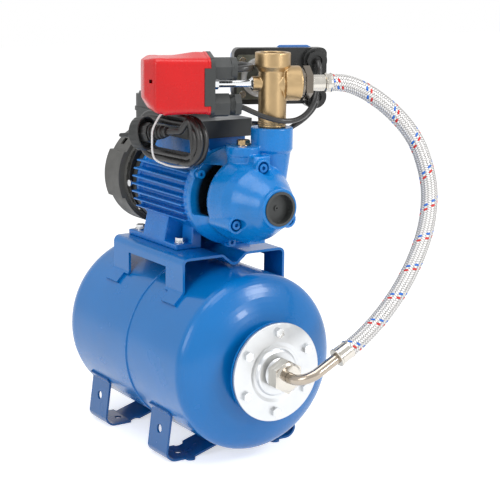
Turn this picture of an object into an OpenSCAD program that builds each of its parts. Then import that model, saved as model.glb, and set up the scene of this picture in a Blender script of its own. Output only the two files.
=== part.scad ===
// Booster pump set: a motor pump on a horizontal membrane tank, with its pressure switches and hose.
// Millimetres, +Z up. The origin is on the floor, in the centre of the four floor holes.
// +X points to the suction port and the tank flange, -Y is the side with the mains plug.

/* [Tank] */
// Outer radius of the tank
tank_r = 104.6; // [98:0.2:112]
// Height of the tank axis above the floor
tank_axis_z = 120; // [118:0.5:128]
// Sheet thickness of the tank shells
tank_wall = 1.6; // [1:0.1:2.4]
// Where the straight shell ends and the front dome starts
tank_front_x = 137.5; // [130:0.5:142]
// Where the straight shell ends and the rear dome starts
tank_rear_x = -111.8; // [-120:0.5:-106]
// Depth of the front dome
front_dome = 34.2; // [28:0.2:38]
// Depth of the rear dome
rear_dome = 52.7; // [40:0.5:60]
// Place of the weld seam between the two shells
seam_x = 24; // [10:1:40]
// Radius of the weld bead
seam_bead = 1.5; // [1:0.1:2.5]
// Radius of the tank's mouth
mouth_r = 38; // [34:0.5:39]
// How far the mouth's collar stands out of the dome
neck_len = 8.3; // [6:0.1:12]
// Thickness of the welded collar
collar_t = 3; // [2:0.1:5]
// Thickness of the membrane's clamped lip
lip_t = 1.5; // [1:0.1:2.5]
// Wall of the rubber membrane
membrane_wall = 2.5; // [1.5:0.1:4]
// Gap between the membrane and the shell
membrane_gap = 7; // [4:0.5:15]

/* [Tank flange] */
// Outer radius of the loose flange and of the welded collar
flange_r = 57.3; // [54:0.1:60]
// Thickness of the loose flange
flange_t = 3.5; // [2.5:0.1:5]
// Radius of the flange's raised centre
flange_boss_r = 26; // [22:0.5:30]
// Height of the flange's raised centre
flange_boss_h = 2.5; // [1:0.1:4]
// Radius of the bolt circle
flange_bolt_pcd_r = 46.4; // [45:0.1:48]
// Number of flange bolts
flange_bolt_count = 6; // [4:1:8]
// Angle of the first flange bolt
flange_bolt_turn = 88; // [60:1:120]
// Radius of the threaded socket in the flange
socket_r = 13.1; // [11:0.1:15]
// How far the socket stands out of the flange
socket_len = 20; // [17:0.5:24]

/* [Feet] */
// Distance between the floor holes along the tank
foot_pitch_x = 150; // [130:1:170]
// Distance between the floor holes across the tank
foot_pitch_y = 126; // [116:1:134]
// Width of a foot strap
foot_w = 44; // [36:1:52]
// Thickness of the foot straps
foot_t = 2.5; // [2:0.1:3]
// Radius of the floor holes
floor_hole_r = 4.5; // [3:0.1:6]
// Radius of the hole in each leg
leg_hole_r = 5.2; // [3:0.1:7]
// Height of the hole in each leg
leg_hole_z = 36; // [30:0.5:42]

/* [Pump bracket] */
// Length of the bracket along the tank
bracket_len = 165.5; // [155:0.5:172]
// Rear end of the bracket
bracket_x = -67.5; // [-75:0.5:-65]
// Half the width of the bracket
bracket_half_w = 70.5; // [66:0.5:76]
// Height of the bracket's top above the tank axis
bracket_rise = 121.4; // [118:0.2:128]
// Sheet thickness of the bracket
bracket_t = 3; // [2:0.1:4]
// Depth of the stamped groove along its middle
groove_depth = 11; // [7:0.5:12]
// Length of the side windows
window_len = 88.9; // [80:0.5:96]
// Rear end of the side windows
window_x = -29.7; // [-34:0.1:-26]
// Height of the sheet left above the side windows
window_top = 15.3; // [12:0.1:20]

/* [Motor] */
// Height of the shaft above the bracket
shaft_h = 66.6; // [64:0.2:72]
// Front face of the motor housing
motor_front_x = 82; // [78:0.5:86]
// Length of the finned housing
motor_len = 124; // [116:0.5:128]
// Radius of the housing under its fins
motor_body_r = 50; // [47:0.5:52]
// Radius over the fins
motor_fin_r = 61; // [58:0.2:62]
// Thickness of a fin
fin_t = 2; // [1.4:0.1:3]
// Pitch of the fins
fin_pitch = 9.3; // [8:0.1:11]
// Distance between the motor bolts along the shaft
motor_bolt_x = 95; // [88:0.5:96]
// Distance between the motor bolts across the shaft
motor_bolt_y = 80; // [76:0.5:84]
// Thickness of the cast feet
motor_foot_t = 6.5; // [5:0.1:9]
// Radius of the shaft
shaft_r = 7; // [6:0.1:8]
// Radial clearance of the shaft in its bearings and its seal
shaft_clear = 0.04; // [0.02:0.01:0.08]
// Outer radius of the bearings
bearing_r = 17.5; // [15:0.5:18]
// Width of a bearing
bearing_w = 11; // [9:0.5:12]
// Length of the stator pack
stator_len = 70; // [60:1:76]
// Air gap between rotor and stator
air_gap = 0.5; // [0.4:0.1:0.8]

/* [Fan and cover] */
// Outer radius of the fan cover
cover_r = 62.5; // [61:0.5:66]
// How far the fan cover's centre lies above the shaft
cover_lift = 4.5; // [2:0.5:6]
// Length of the fan cover
cover_len = 38; // [34:0.5:44]
// Gap between the fan cover's rim and the housing
cover_gap = 21; // [18:0.5:24]
// Wall of the fan cover
cover_wall = 2.2; // [1.6:0.1:3]
// How far the cover's skirt stands out over the rear shield
skirt_over = 4.5; // [3:0.1:6]
// How far the side bulge stands out of the cover
bulge = 3.2; // [2:0.1:5]
// Radius of the fan's hub
fan_hub_r = 13; // [10:0.5:16]
// Length of the fan's hub
fan_hub_len = 18; // [14:0.5:20]
// Radius of the fan
fan_r = 50; // [44:0.5:53]
// Number of fan blades
fan_blades = 9; // [5:1:12]

/* [Terminal box] */
// Width of the terminal box across the motor
tbox_w = 88; // [80:1:92]
// Length of the terminal box along the motor
tbox_len = 136; // [128:1:140]
// Front face of the terminal box, back from the housing's front
tbox_setback = 14; // [12:0.5:20]
// Height of the low front part
tbox_h = 20.5; // [18:0.5:24]
// Height of the capacitor housing at the rear
tbox_hump_h = 47; // [43:0.5:48]
// Length of the capacitor housing
tbox_hump_len = 62; // [50:1:66]
// Wall of the terminal box
tbox_wall = 2.2; // [1.8:0.1:3]
// Height of the split between the box and its lid at the rear
tbox_split = 24; // [22:0.5:26]
// Radius of the run capacitor
capacitor_r = 15; // [12:0.5:16]

/* [Pump] */
// Radius of the lantern's flange against the motor
lantern_r = 57; // [55:0.5:58]
// Length of the lantern bracket
lantern_len = 31; // [28:0.5:34]
// Number of screws in the lantern and in the casing
pump_screws = 3; // [3:1:3]
// Radius of the circle of the lantern's screws
lantern_pcd_r = 54; // [53:0.1:55]
// Radius of the pump casing where it meets the lantern
casing_r = 48; // [46:0.5:50]
// Length of the casing's round body
casing_len = 39; // [36:0.5:42]
// Length of the cone in front of it
cone_len = 30; // [26:0.5:34]
// Length of the ring round the suction port
nose_len = 7.2; // [5:0.1:10]
// Radius of the suction port's ring
nose_r = 23; // [22:0.1:25]
// Radius of the suction bore
suction_r = 18.4; // [17:0.1:19]
// Radius of the circle of the casing's screws
casing_pcd_r = 41; // [40:0.5:42]
// Radius of the impeller
impeller_r = 33; // [28:0.5:34]
// Width of the impeller
impeller_w = 9; // [7:0.5:10]
// Number of impeller vanes
impeller_vanes = 28; // [20:1:36]
// Radius of the priming boss
priming_r = 21.5; // [19:0.5:22]
// Height of the priming boss above the shaft
priming_h = 62.5; // [60:0.5:66]
// Radius of the discharge boss
discharge_r = 24; // [22:0.5:25]
// Height of the discharge boss above the shaft
discharge_h = 83; // [80:0.5:88]
// Place of the discharge port along the casing
discharge_x = 16.8; // [14:0.2:19]
// Offset of the discharge port across the shaft
discharge_y = 28; // [24:0.5:28]

/* [Five-way fitting] */
// Outer radius of the fitting's stem
stem_r = 16; // [15:0.2:17]
// Outer radius of the outlet collar
collar_out_r = 20.3; // [19:0.1:22]
// Radius of the bore of its one inch threads
thread_r = 15.15; // [14.9:0.05:15.2]
// Height of the fitting's side ports above the discharge boss
port_rise = 49.4; // [45:0.2:52]
// Height of the outlet's rim above the side ports
outlet_rise = 35; // [32:0.5:38]
// Length of the outlet collar
outlet_len = 15.5; // [13:0.5:17]
// Depth of the outlet's thread
outlet_depth = 15; // [12:0.5:18]
// Reach of the hose port from the fitting's axis
hose_port_len = 31.5; // [30:0.1:34]
// Reach of the two gauge ports from the fitting's axis
gauge_port_len = 24; // [22:0.5:26]
// Outer radius of the gauge ports
gauge_port_r = 8.3; // [7.6:0.1:9]
// How far the hose port is turned from the shaft's direction
fitting_turn = 70; // [66:0.5:74]

/* [Red pressure switch] */
// Length of the tube between fitting and switch
red_stem_len = 46.4; // [44:0.2:49]
// Height of the red switch's cover at its base
red_h = 61; // [58:0.5:64]
// Width of the red switch
red_w = 60; // [56:0.5:64]
// Length of the red cover
red_len = 71.4; // [66:0.2:76]
// Wall of the red cover
red_wall = 2.2; // [1.6:0.1:3]
// Radius of the switch's cable glands
gland_r = 14; // [12.6:0.1:14.4]
// Distance between the red switch's glands
gland_pitch = 39.9; // [38:0.1:44]

/* [Rear pressure switch] */
// Distance from the gauge port to the switch's plate
rear_stem_len = 34; // [31:0.5:37]
// Length of the rear switch's base
rear_base_len = 112; // [111:0.5:118]
// Height of the rear switch's base
rear_base_h = 65.6; // [62:0.2:68]
// Depth of the rear switch's base
rear_base_t = 15; // [12:0.5:18]
// Depth of the rear switch's cover
rear_cover_t = 44; // [38:0.5:50]
// Width of the zinc plate
plate_w = 56; // [54:0.5:60]
// Height of the zinc plate
plate_h = 52; // [50:0.5:56]
// Radius of the diaphragm housing
diaphragm_r = 23; // [20:0.5:23.5]

/* [Hose] */
// Outer diameter of the braided hose
hose_d = 19.6; // [18:0.1:21]
// Width across flats of the hose's hexagons
hose_hex = 34; // [32:0.5:37]
// Outer radius of the steel pipes at the hose's ends
pipe_r = 6.1; // [5.5:0.1:6.6]
// Bend radius of the steel pipe at the tank
elbow_r = 22; // [20:0.5:26]
// How far that pipe points up
elbow_turn = 27; // [20:0.5:34]

/* [Cables] */
// Diameter of the cables between switches and motor
cable_d = 6; // [5:0.1:6.4]
// Diameter of the mains lead
lead_d = 7.4; // [7:0.1:8]
// Radius of the mains plug
plug_r = 19.5; // [18:0.5:20]

/* [Hidden] */
$fn = 72;
// Clearance between pieces that are set against each other
seat = 0.3;
// Clearance round a bolt or screw in its hole
bolt_clear = 0.35;
// Gap left between two faces that touch
touch = 0.04;
// Overlap that joins the solids of one piece
weld = 0.6;

tank_blue = [0.06, 0.26, 0.55];
motor_blue = [0.04, 0.20, 0.50];
cap_black = [0.12, 0.12, 0.12];
zinc = [0.82, 0.82, 0.80];
nickel = [0.66, 0.63, 0.57];
brass_gold = [0.72, 0.55, 0.26];

// Places along X of the tank's mouth
collar_x = tank_front_x + front_dome + neck_len;
collar_front_x = collar_x + collar_t;
flange_x = collar_front_x + lip_t;
flange_front_x = flange_x + flange_t;
socket_end_x = flange_front_x + socket_len;
flange_bolt_r = 3;

bracket_z = tank_axis_z + bracket_rise;
pump_z = bracket_z + shaft_h;
motor_rear_x = motor_front_x - motor_len;
motor_bolt_front_x = motor_front_x - 41.2;
motor_bolts = [for (sx = [0, 1], sy = [-1, 1]) [motor_bolt_front_x - sx * motor_bolt_x, sy * motor_bolt_y / 2]];
motor_bolt_r = 3;
lantern_front_x = motor_front_x + lantern_len;
casing_front_x = lantern_front_x + casing_len;
nose_x = casing_front_x + cone_len;
nose_front_x = nose_x + nose_len;
lantern_angles = [for (i = [0:pump_screws - 1]) 27 + 360 / pump_screws * i];
casing_angles = [for (i = [0:pump_screws - 1]) 90 + 360 / pump_screws * i];
chamber_front_x = lantern_front_x + impeller_w + 2 * seat + 1;
priming_x = lantern_front_x + 6;
priming_y = -2;
plug_dx = -3;
plug_dy = 0.5;

// The fitting's axis and the height of its ports
fitting_x = lantern_front_x + discharge_x;
discharge_top_z = pump_z + discharge_h;
port_z = discharge_top_z + port_rise;

function along_fitting(s, off, dz) = [
    fitting_x + s * cos(fitting_turn) - off * sin(fitting_turn),
    discharge_y + s * sin(fitting_turn) + off * cos(fitting_turn),
    port_z + dz];

// Places of the red switch along the fitting's axis, counted away from the fitting
red_base_s = gauge_port_len + red_stem_len + 2;
red_base_t = 4.6;
red_cover_s = red_base_s + red_base_t;
upper_gland_z = 17.6;
lower_gland_z = upper_gland_z - gland_pitch;
red_glands = [[upper_gland_z, 19.9], [lower_gland_z, 18.4]];
red_gland_off = -12;
red_z = -0.4;

// Places of the rear switch behind the fitting
plate_off = gauge_port_len + rear_stem_len;
plate_t = 2.2;
rear_base_off = plate_off + plate_t;
rear_base_s0 = -31;
rear_z = 2.4;
plate_z = 1.5;
rear_gland_s = 65.5;
rear_gland_z = [20.5, -21.5];
rear_cover_off = rear_base_off + rear_base_t;

// The hose's two ends
hose_hex_s = hose_port_len + 4.1;
hose_hex_len = 7.7;
hose_tail_len = 17.2;
hose_start_s = hose_hex_s + hose_hex_len + hose_tail_len + 8.6;
nut_len = 17;
nut_x = flange_front_x + 8;
elbow_start_x = nut_x + nut_len + 5;
elbow_reach = elbow_r + 28;
ferrule_len = 19;

// The terminal box
tbox_x1 = motor_front_x - tbox_setback;
tbox_x0 = tbox_x1 - tbox_len;
tbox_z = pump_z + motor_fin_r + 4;

/* Routes of the free cords, points chosen by hand */
hose_route = [[153.46, 93, 440.4], [155.48, 98.59, 440.4], [158.22, 106.11, 439.75],
    [161.98, 116.45, 437.1], [170, 135.6, 427.3], [179.8, 157.2, 410.2], [188, 174.5, 391.2],
    [196, 187, 369.5], [203.2, 193.7, 345], [210, 195.5, 320.5], [216, 191.5, 296], [222, 182, 270.5],
    [227.2, 168, 247], [231.9, 149.5, 222.5], [235.8, 127, 198.5], [238.4, 102.5, 177.5], [239.7, 82, 163],
    [240, 68.6, 154.94], [240, 61.53, 151.35]];
jumper_route = [[127.27, -14.05, 415.2], [128.01, -12, 415.2], [129.44, -9.54, 414.3],
    [131.31, -7.03, 413], [134.09, -3.78, 411.1], [139.71, 2.9, 407.7], [145.37, 10.84, 404.2],
    [149.25, 18.58, 401.8], [151.68, 26.42, 400.3], [152.37, 35.32, 399.6], [150.91, 45.64, 399.9],
    [146.69, 56.86, 401.8], [141.24, 68.21, 405.5], [135.42, 78.53, 411], [129.92, 86.81, 417.9],
    [124.86, 92.8, 425.6], [121.17, 96.69, 433.6], [118.53, 99.36, 441.6], [115.74, 101.65, 449.4],
    [113.6, 103.07, 454.4], [110.8, 104.46, 458.6], [107.29, 105.9, 460.9], [104.07, 107.07, 460.9]];
motor_cable_route = [[104.07, 107.07, 418.9], [107.29, 105.9, 418.9], [110.75, 104.32, 417.2],
    [113.28, 101.91, 414], [114.72, 98.83, 409.8], [114.97, 94.27, 404.4], [114.35, 87.9, 398.3],
    [112.51, 80.48, 392.4], [108.64, 73.37, 387.2], [101.5, 67.6, 381.4], [91.5, 66.3, 379],
    [80.5, 67.6, 378.2], [69.5, 70.4, 378.4], [59, 72.6, 379.4], [50.5, 71.8, 381], [44.2, 68, 382.5],
    [40.9, 62.8, 383.1], [40, 57.5, 383.25], [40, 53.24, 383.25]];
lead_route = [[125.46, -19.01, 458], [127.05, -14.63, 458], [127.92, -9.63, 458.1], [127.07, -3.47, 458.2],
    [123.9, 1.84, 458.4], [119.01, 5.96, 458.6], [112.72, 8.25, 458.8], [105.72, 8.03, 459.1],
    [99, 5.37, 459.4], [93.03, 0.94, 459.7], [87.41, -4.25, 459.6], [81.37, -10.03, 458.9],
    [75.83, -16.21, 456.8], [71.64, -22.45, 452.8], [69.02, -27.88, 447], [67.3, -31.73, 439.5],
    [66.55, -33.79, 431], [66.38, -34.26, 422], [66.36, -34.25, 413], [66.43, -34.93, 408.67],
    [66.64, -36.91, 404.77], [66.96, -39.99, 401.67], [67.37, -43.87, 399.69], [67.82, -48.18, 399],
    [68.14, -51.15, 399]];
plug_route = [[83.79, -68.56, 386.52], [88.3, -66.53, 387.14], [93.5, -64.2, 388.9], [98, -62, 392],
    [100.5, -60, 396]];
coil_centre = [56, -60, 375.5];
coil_turn = 6;
coil_half_len = 62;
coil_half_h = 29;
coil_t = 15;
coil_radial = 15;
plug_place = [43, -86.8, 381];
plug_aim = [0, 82.95, 24.1];

// Points on an arc about a centre
function arc(c, r, a0, a1, n) = [for (i = [0:n]) c + r * [cos(a0 + (a1 - a0) * i / n), sin(a0 + (a1 - a0) * i / n)]];

// A half ellipse as dome profile: radius and distance along the axis, from the rim to radius r_end
function dome(x0, depth, r, r_end, n) = let (a_end = acos(r_end / r))
    [for (i = [0:n]) [r * cos(a_end * i / n), x0 + depth * sin(a_end * i / n)]];

// Both sides of a sheet of thickness t about a line of points, as one outline
function unit(v) = v / norm(v);
function normal_at(p, i) = let (a = p[max(i - 1, 0)], b = p[min(i + 1, len(p) - 1)], d = unit(b - a)) [-d[1], d[0]];
function mitre_at(p, i) = i == 0 || i == len(p) - 1 ? 1
    : let (d0 = unit(p[i] - p[i - 1]), d1 = unit(p[i + 1] - p[i])) 1 / sqrt(max(0.3, (1 + d0 * d1) / 2));
function strip(p, t) = concat(
    [for (i = [0:len(p) - 1]) p[i] + normal_at(p, i) * mitre_at(p, i) * t / 2],
    [for (i = [len(p) - 1:-1:0]) p[i] - normal_at(p, i) * mitre_at(p, i) * t / 2]);

// Height of the tank's surface beside its axis
function tank_side(r, y) = sqrt(r * r - y * y);

module along_x(x) { translate([x, 0, 0]) rotate([0, 90, 0]) children(); }
module xcyl(x0, x1, r, fn = 72) { along_x(x0) cylinder(h = x1 - x0, r = r, $fn = fn); }
module xcone(x0, x1, r0, r1) { along_x(x0) cylinder(h = x1 - x0, r1 = r0, r2 = r1); }
module xrev(profile) { rotate([0, 90, 0]) rotate_extrude() polygon(profile); }
module ring_of(count_angles, r) { for (a = count_angles) translate([0, r * cos(a), r * sin(a)]) children(); }
module extrude_x(x0, x1) { translate([x0, 0, 0]) rotate([90, 0, 90]) linear_extrude(x1 - x0) children(); }
module at_tank() { translate([0, 0, tank_axis_z]) children(); }
module at_pump() { translate([0, 0, pump_z]) children(); }
module at_fitting() { translate([fitting_x, discharge_y, port_z]) rotate([0, 0, fitting_turn]) children(); }
module ycyl(y0, y1, r, fn = 72) { translate([0, y0, 0]) rotate([-90, 0, 0]) cylinder(h = y1 - y0, r = r, $fn = fn); }

// A box with upright rounded edges
module round_box(x0, x1, y0, y1, z0, z1, r) {
    translate([0, 0, z0]) linear_extrude(z1 - z0) polygon(concat(
        arc([x1 - r, y1 - r], r, 0, 90, 6), arc([x0 + r, y1 - r], r, 90, 180, 6),
        arc([x0 + r, y0 + r], r, 180, 270, 6), arc([x1 - r, y0 + r], r, 270, 360, 6)));
}

// Hexagon-head bolt that points along +Z from its head's seat
module hex_bolt(r, len, head_h, across) {
    translate([0, 0, -head_h]) cylinder(h = head_h, r = across / 2 / cos(30), $fn = 6);
    cylinder(h = len, r = r, $fn = 24);
}
module hex_nut(r, h, across) {
    difference() {
        cylinder(h = h, r = across / 2 / cos(30), $fn = 6);
        translate([0, 0, -1]) cylinder(h = h + 2, r = r + 0.02, $fn = 24);
    }
}

// Socket-head screw along X: its head ends at x_head, its shank reaches back to x_tip
module socket_screw(x_tip, x_seat, r, head_r, head_h) {
    difference() {
        union() {
            xcyl(x_tip, x_seat + 0.01, r, 24);
            xcyl(x_seat, x_seat + head_h, head_r, 24);
        }
        xcyl(x_seat + head_h * 0.45, x_seat + head_h + 1, head_r * 0.5, 6);
    }
}

// A free cord's tube, swept along its route with rings of s sides
function cord_dir(p, i) = unit(p[min(i + 1, len(p) - 1)] - p[max(i - 1, 0)]);
function side_of(d) = abs(d[2]) > 0.9 ? unit(cross(d, [0, 1, 0])) : unit(cross(d, [0, 0, 1]));
function frames(p, i = 0, prev = undef) = i == len(p) ? [] :
    let (d = cord_dir(p, i), raw = prev == undef ? side_of(d) : prev - (prev * d) * d, u = unit(raw))
    concat([[d, u]], frames(p, i + 1, u));
module tube(route, r, s) {
    f = frames(route);
    pts = [for (i = [0:len(route) - 1]) for (k = [0:s - 1])
        let (u = f[i][1], v = cross(f[i][0], u), a = 360 * k / s) route[i] + r * (u * cos(a) + v * sin(a))];
    n = len(route);
    polyhedron(pts, concat([[for (k = [0:s - 1]) k]], [for (i = [0:n - 2]) for (k = [0:s - 1])
        [i * s + k, (i + 1) * s + k, (i + 1) * s + (k + 1) % s, i * s + (k + 1) % s]],
        [[for (k = [s - 1:-1:0]) (n - 1) * s + k]]), convexity = 8);
}

// Tank
module tank_rear_shell() {
    color(tank_blue) at_tank() difference() {
        xrev(concat([[0, tank_rear_x - rear_dome]],
            [for (i = [1:16]) let (d = dome(-tank_rear_x, rear_dome, tank_r, 0.01, 16)) [d[16 - i][0], -d[16 - i][1]]],
            [[tank_r, seam_x], [tank_r - tank_wall, seam_x]],
            [for (i = [0:15]) let (d = dome(-tank_rear_x, rear_dome - tank_wall, tank_r - tank_wall, 0.01, 16))
                [d[i][0], -d[i][1]]],
            [[0, tank_rear_x - rear_dome + tank_wall]]));
        xcyl(tank_rear_x - rear_dome - 1, tank_rear_x, 5.5);
    }
}
module tank_front_shell() {
    wall = tank_wall;
    neck_r = mouth_r + wall;
    bead = [for (i = [0:8]) [tank_r + touch + seam_bead * sin(22.5 * i), seam_x - seam_bead * cos(22.5 * i)]];
    color(tank_blue) at_tank() difference() {
        xrev(concat([[tank_r + touch, seam_x]], bead, dome(tank_front_x, front_dome, tank_r, neck_r, 14),
            [[neck_r, collar_x], [flange_r, collar_x], [flange_r, collar_front_x], [mouth_r, collar_front_x]],
            [for (i = [0:13]) let (d = dome(tank_front_x, front_dome - wall, tank_r - wall, mouth_r, 14)) d[14 - i]],
            [[tank_r - wall, seam_x]]));
        ring_of(flange_angles, flange_bolt_pcd_r) xcyl(collar_x - 1, collar_front_x + 1, flange_bolt_r + bolt_clear);
    }
}
module tank_membrane() {
    gap = membrane_gap;
    r = tank_r - gap;
    neck = mouth_r - seat;
    color([0.08, 0.08, 0.08]) at_tank() xrev(concat(
        [[0.01, tank_rear_x - rear_dome + gap + 8]],
        [for (i = [0:9]) let (d = dome(-tank_rear_x, rear_dome - gap - 8, r, 0.01, 10)) [d[9 - i][0], -d[9 - i][1]]],
        dome(tank_front_x, front_dome - gap, r, neck, 10),
        [[neck, collar_front_x], [flange_bolt_pcd_r - flange_bolt_r - 1.5, collar_front_x],
        [flange_bolt_pcd_r - flange_bolt_r - 1.5, flange_x], [neck - membrane_wall, flange_x]],
        [for (i = [0:10]) let (d = dome(tank_front_x, front_dome - gap - membrane_wall, r - membrane_wall,
            neck - membrane_wall, 10)) d[10 - i]],
        [for (i = [0:9]) let (d = dome(-tank_rear_x, rear_dome - gap - 8 - membrane_wall, r - membrane_wall, 0.01, 10))
            [d[i][0], -d[i][1]]],
        [[0.01, tank_rear_x - rear_dome + gap + 8 + membrane_wall]]));
}
flange_angles = [for (i = [0:flange_bolt_count - 1]) flange_bolt_turn + 360 / flange_bolt_count * i];
module tank_flange() {
    x1 = flange_front_x;
    color(zinc) at_tank() difference() {
        xrev(concat([[socket_r - 3, flange_x], [flange_r, flange_x], [flange_r, x1 - 0.6], [flange_r - 0.6, x1],
            [flange_boss_r + 9, x1], [flange_boss_r + 5, x1 - 1.2], [flange_boss_r + 1.5, x1 - 1.2],
            [flange_boss_r, x1 + flange_boss_h - 0.8], [flange_boss_r - 1.5, x1 + flange_boss_h],
            [socket_r + 4, x1 + flange_boss_h], [socket_r, x1 + flange_boss_h + 3],
            [socket_r, socket_end_x - 1], [socket_r - 1, socket_end_x], [socket_r - 3, socket_end_x]]));
        ring_of(flange_angles, flange_bolt_pcd_r) xcyl(flange_x - 1, x1 + 1, flange_bolt_r + bolt_clear);
    }
}
module flange_bolts() {
    color(zinc) at_tank() ring_of(flange_angles, flange_bolt_pcd_r) translate([flange_front_x, 0, 0])
        rotate([0, -90, 0]) hex_bolt(flange_bolt_r, flange_front_x - collar_x + 6.5, 4, 10);
}
module flange_nuts() {
    color(zinc) at_tank() ring_of(flange_angles, flange_bolt_pcd_r) translate([collar_x, 0, 0])
        rotate([0, -90, 0]) hex_nut(flange_bolt_r, 5, 10);
}
module air_valve() {
    x = tank_rear_x - rear_dome;
    color(brass_gold) at_tank() difference() {
        union() {
            xcyl(x - 14, x + 5, 4);
            xcyl(x - 1.4, x - 0.01, 9);
            xcyl(x + tank_wall + 0.6, x + 4, 8, 6);
        }
        xcyl(x - 15, x - 4, 1.4, 24);
    }
}
module air_valve_cap() {
    x = tank_rear_x - rear_dome;
    color(cap_black) at_tank() difference() {
        xcyl(x - 17, x - 1.7, 8.5);
        xcyl(x - 15, x, 4.2);
    }
}

// Feet: one strap under the tank, bent down to the floor on both sides
foot_arc_r = 13;
leg_splay = 14;
foot_lift = tank_axis_z - tank_r;
lip_angle = 213;
function foot_half() = let (t = foot_t, y_in = foot_pitch_y / 2 - 8, y_out = foot_pitch_y / 2 + 15,
        lip = tank_r + 2 * touch + t / 2,
        top = [-lip * cos(lip_angle), tank_axis_z + lip * sin(lip_angle)],
        low = [-lip * cos(lip_angle + 4), tank_axis_z + lip * sin(lip_angle + 4)])
    concat([[0, foot_lift - t / 2 - touch], [14, foot_lift - t / 2 - touch - 0.6], [y_in, t / 2]],
        [for (p = arc([y_out, foot_arc_r + t / 2], foot_arc_r, -90, -leg_splay, 6)) p], [low, top]);
module foot_at(x, way) {
    half = foot_half();
    line = concat([for (i = [len(half) - 1:-1:1]) [-half[i][0], half[i][1]]], half);
    x0 = x - foot_w / 2;
    x1 = x + foot_w / 2;
    color(tank_blue) difference() {
        union() {
            extrude_x(x0, x1) polygon(strip(line, foot_t));
            for (s = [-1, 1]) translate([x + way * foot_w / 2, s * (foot_pitch_y / 2 - 3), 0]) {
                translate([way * 1.5, 0, 0]) cylinder(h = foot_t, r = 6, $fn = 32);
                translate([-4, s * 3, foot_t / 2]) cube([8, 20, foot_t], center = true);
            }
        }
        for (s = [-1, 1]) {
            translate([x, s * foot_pitch_y / 2, -1]) cylinder(h = 9, r = floor_hole_r);
            translate([x - way * foot_w / 2, s * (foot_pitch_y / 2 - 13), -1]) cylinder(h = 20, r = 6);
            translate([x, 0, leg_hole_z]) rotate([s * 90, 0, 0]) cylinder(h = 140, r = leg_hole_r);
        }
    }
}
module front_foot() { foot_at(foot_pitch_x / 2, 1); }
module rear_foot() { foot_at(-foot_pitch_x / 2, -1); }

// Bracket: a channel with a stamped groove, its legs bent out onto the tank
corner_r = 6;
module pump_bracket() {
    t = bracket_t;
    w = bracket_half_w - t / 2;
    top = bracket_z - t / 2;
    groove = min(groove_depth, bracket_rise - tank_r - t - seat);
    k = groove / groove_depth;
    foot_out = bracket_half_w + 11;
    foot_in = tank_axis_z + tank_side(tank_r + seat + t / 2, w);
    half = concat(arc([0, top - groove + 9 * k], 9 * k, -90, -35, 5), arc([19, top - 8 * k], 8 * k, 145, 90, 4),
        arc([w - corner_r, top - corner_r], corner_r, 90, 0, 5),
        [[w, foot_in + 1.5], [w + 1.8, foot_in - 1.6],
        [foot_out, tank_axis_z + tank_side(tank_r + seat + 2 * touch + t / 2, foot_out)]]);
    line = concat([for (i = [len(half) - 1:-1:1]) [-half[i][0], half[i][1]]], half);
    window_z = bracket_z - window_top;
    color(tank_blue) difference() {
        extrude_x(bracket_x, bracket_x + bracket_len) polygon(strip(line, t));
        for (s = [-1, 1]) {
            translate([window_x, s > 0 ? bracket_half_w - 12 : -foot_out - 5, tank_axis_z])
                cube([window_len, foot_out - bracket_half_w + 17, window_z - tank_axis_z]);
            for (x = [window_x, window_x + window_len]) translate([x, s * (bracket_half_w - 3), foot_in - 8])
                rotate([s * -35, 0, 0]) translate([-9, s > 0 ? 0 : -24, -18]) cube([18, 24, 30]);
        }
        for (b = motor_bolts) for (dx = [-5, 5]) translate([b[0] + dx, b[1], bracket_z - 8])
            cylinder(h = 12, r = motor_bolt_r + bolt_clear + 0.6);
        for (b = motor_bolts) translate([b[0] - 5, b[1] - motor_bolt_r - bolt_clear - 0.6, bracket_z - 8])
            cube([10, 2 * (motor_bolt_r + bolt_clear + 0.6), 12]);
    }
}
foot_top_z = bracket_z + 2 * touch + motor_foot_t;
bolt_tail = 8;
module foot_bolts() {
    color(zinc) for (b = motor_bolts) translate([b[0], b[1], foot_top_z]) {
        translate([0, 0, 1.5]) rotate([180, 0, 0]) hex_bolt(motor_bolt_r, foot_top_z + 1.5 - bracket_z + bracket_t + bolt_tail, 4.5, 10);
        difference() {
            cylinder(h = 1.5, r = 7);
            translate([0, 0, -1]) cylinder(h = 4, r = motor_bolt_r - 0.02);
        }
    }
}
module foot_nuts() {
    color(zinc) for (b = motor_bolts) translate([b[0], b[1], bracket_z - bracket_t - touch]) {
        translate([0, 0, -1.5]) difference() {
            cylinder(h = 1.5, r = 8);
            translate([0, 0, -1]) cylinder(h = 4, r = motor_bolt_r + bolt_clear);
        }
        translate([0, 0, -6.5]) hex_nut(motor_bolt_r, 5, 10);
    }
}

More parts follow.
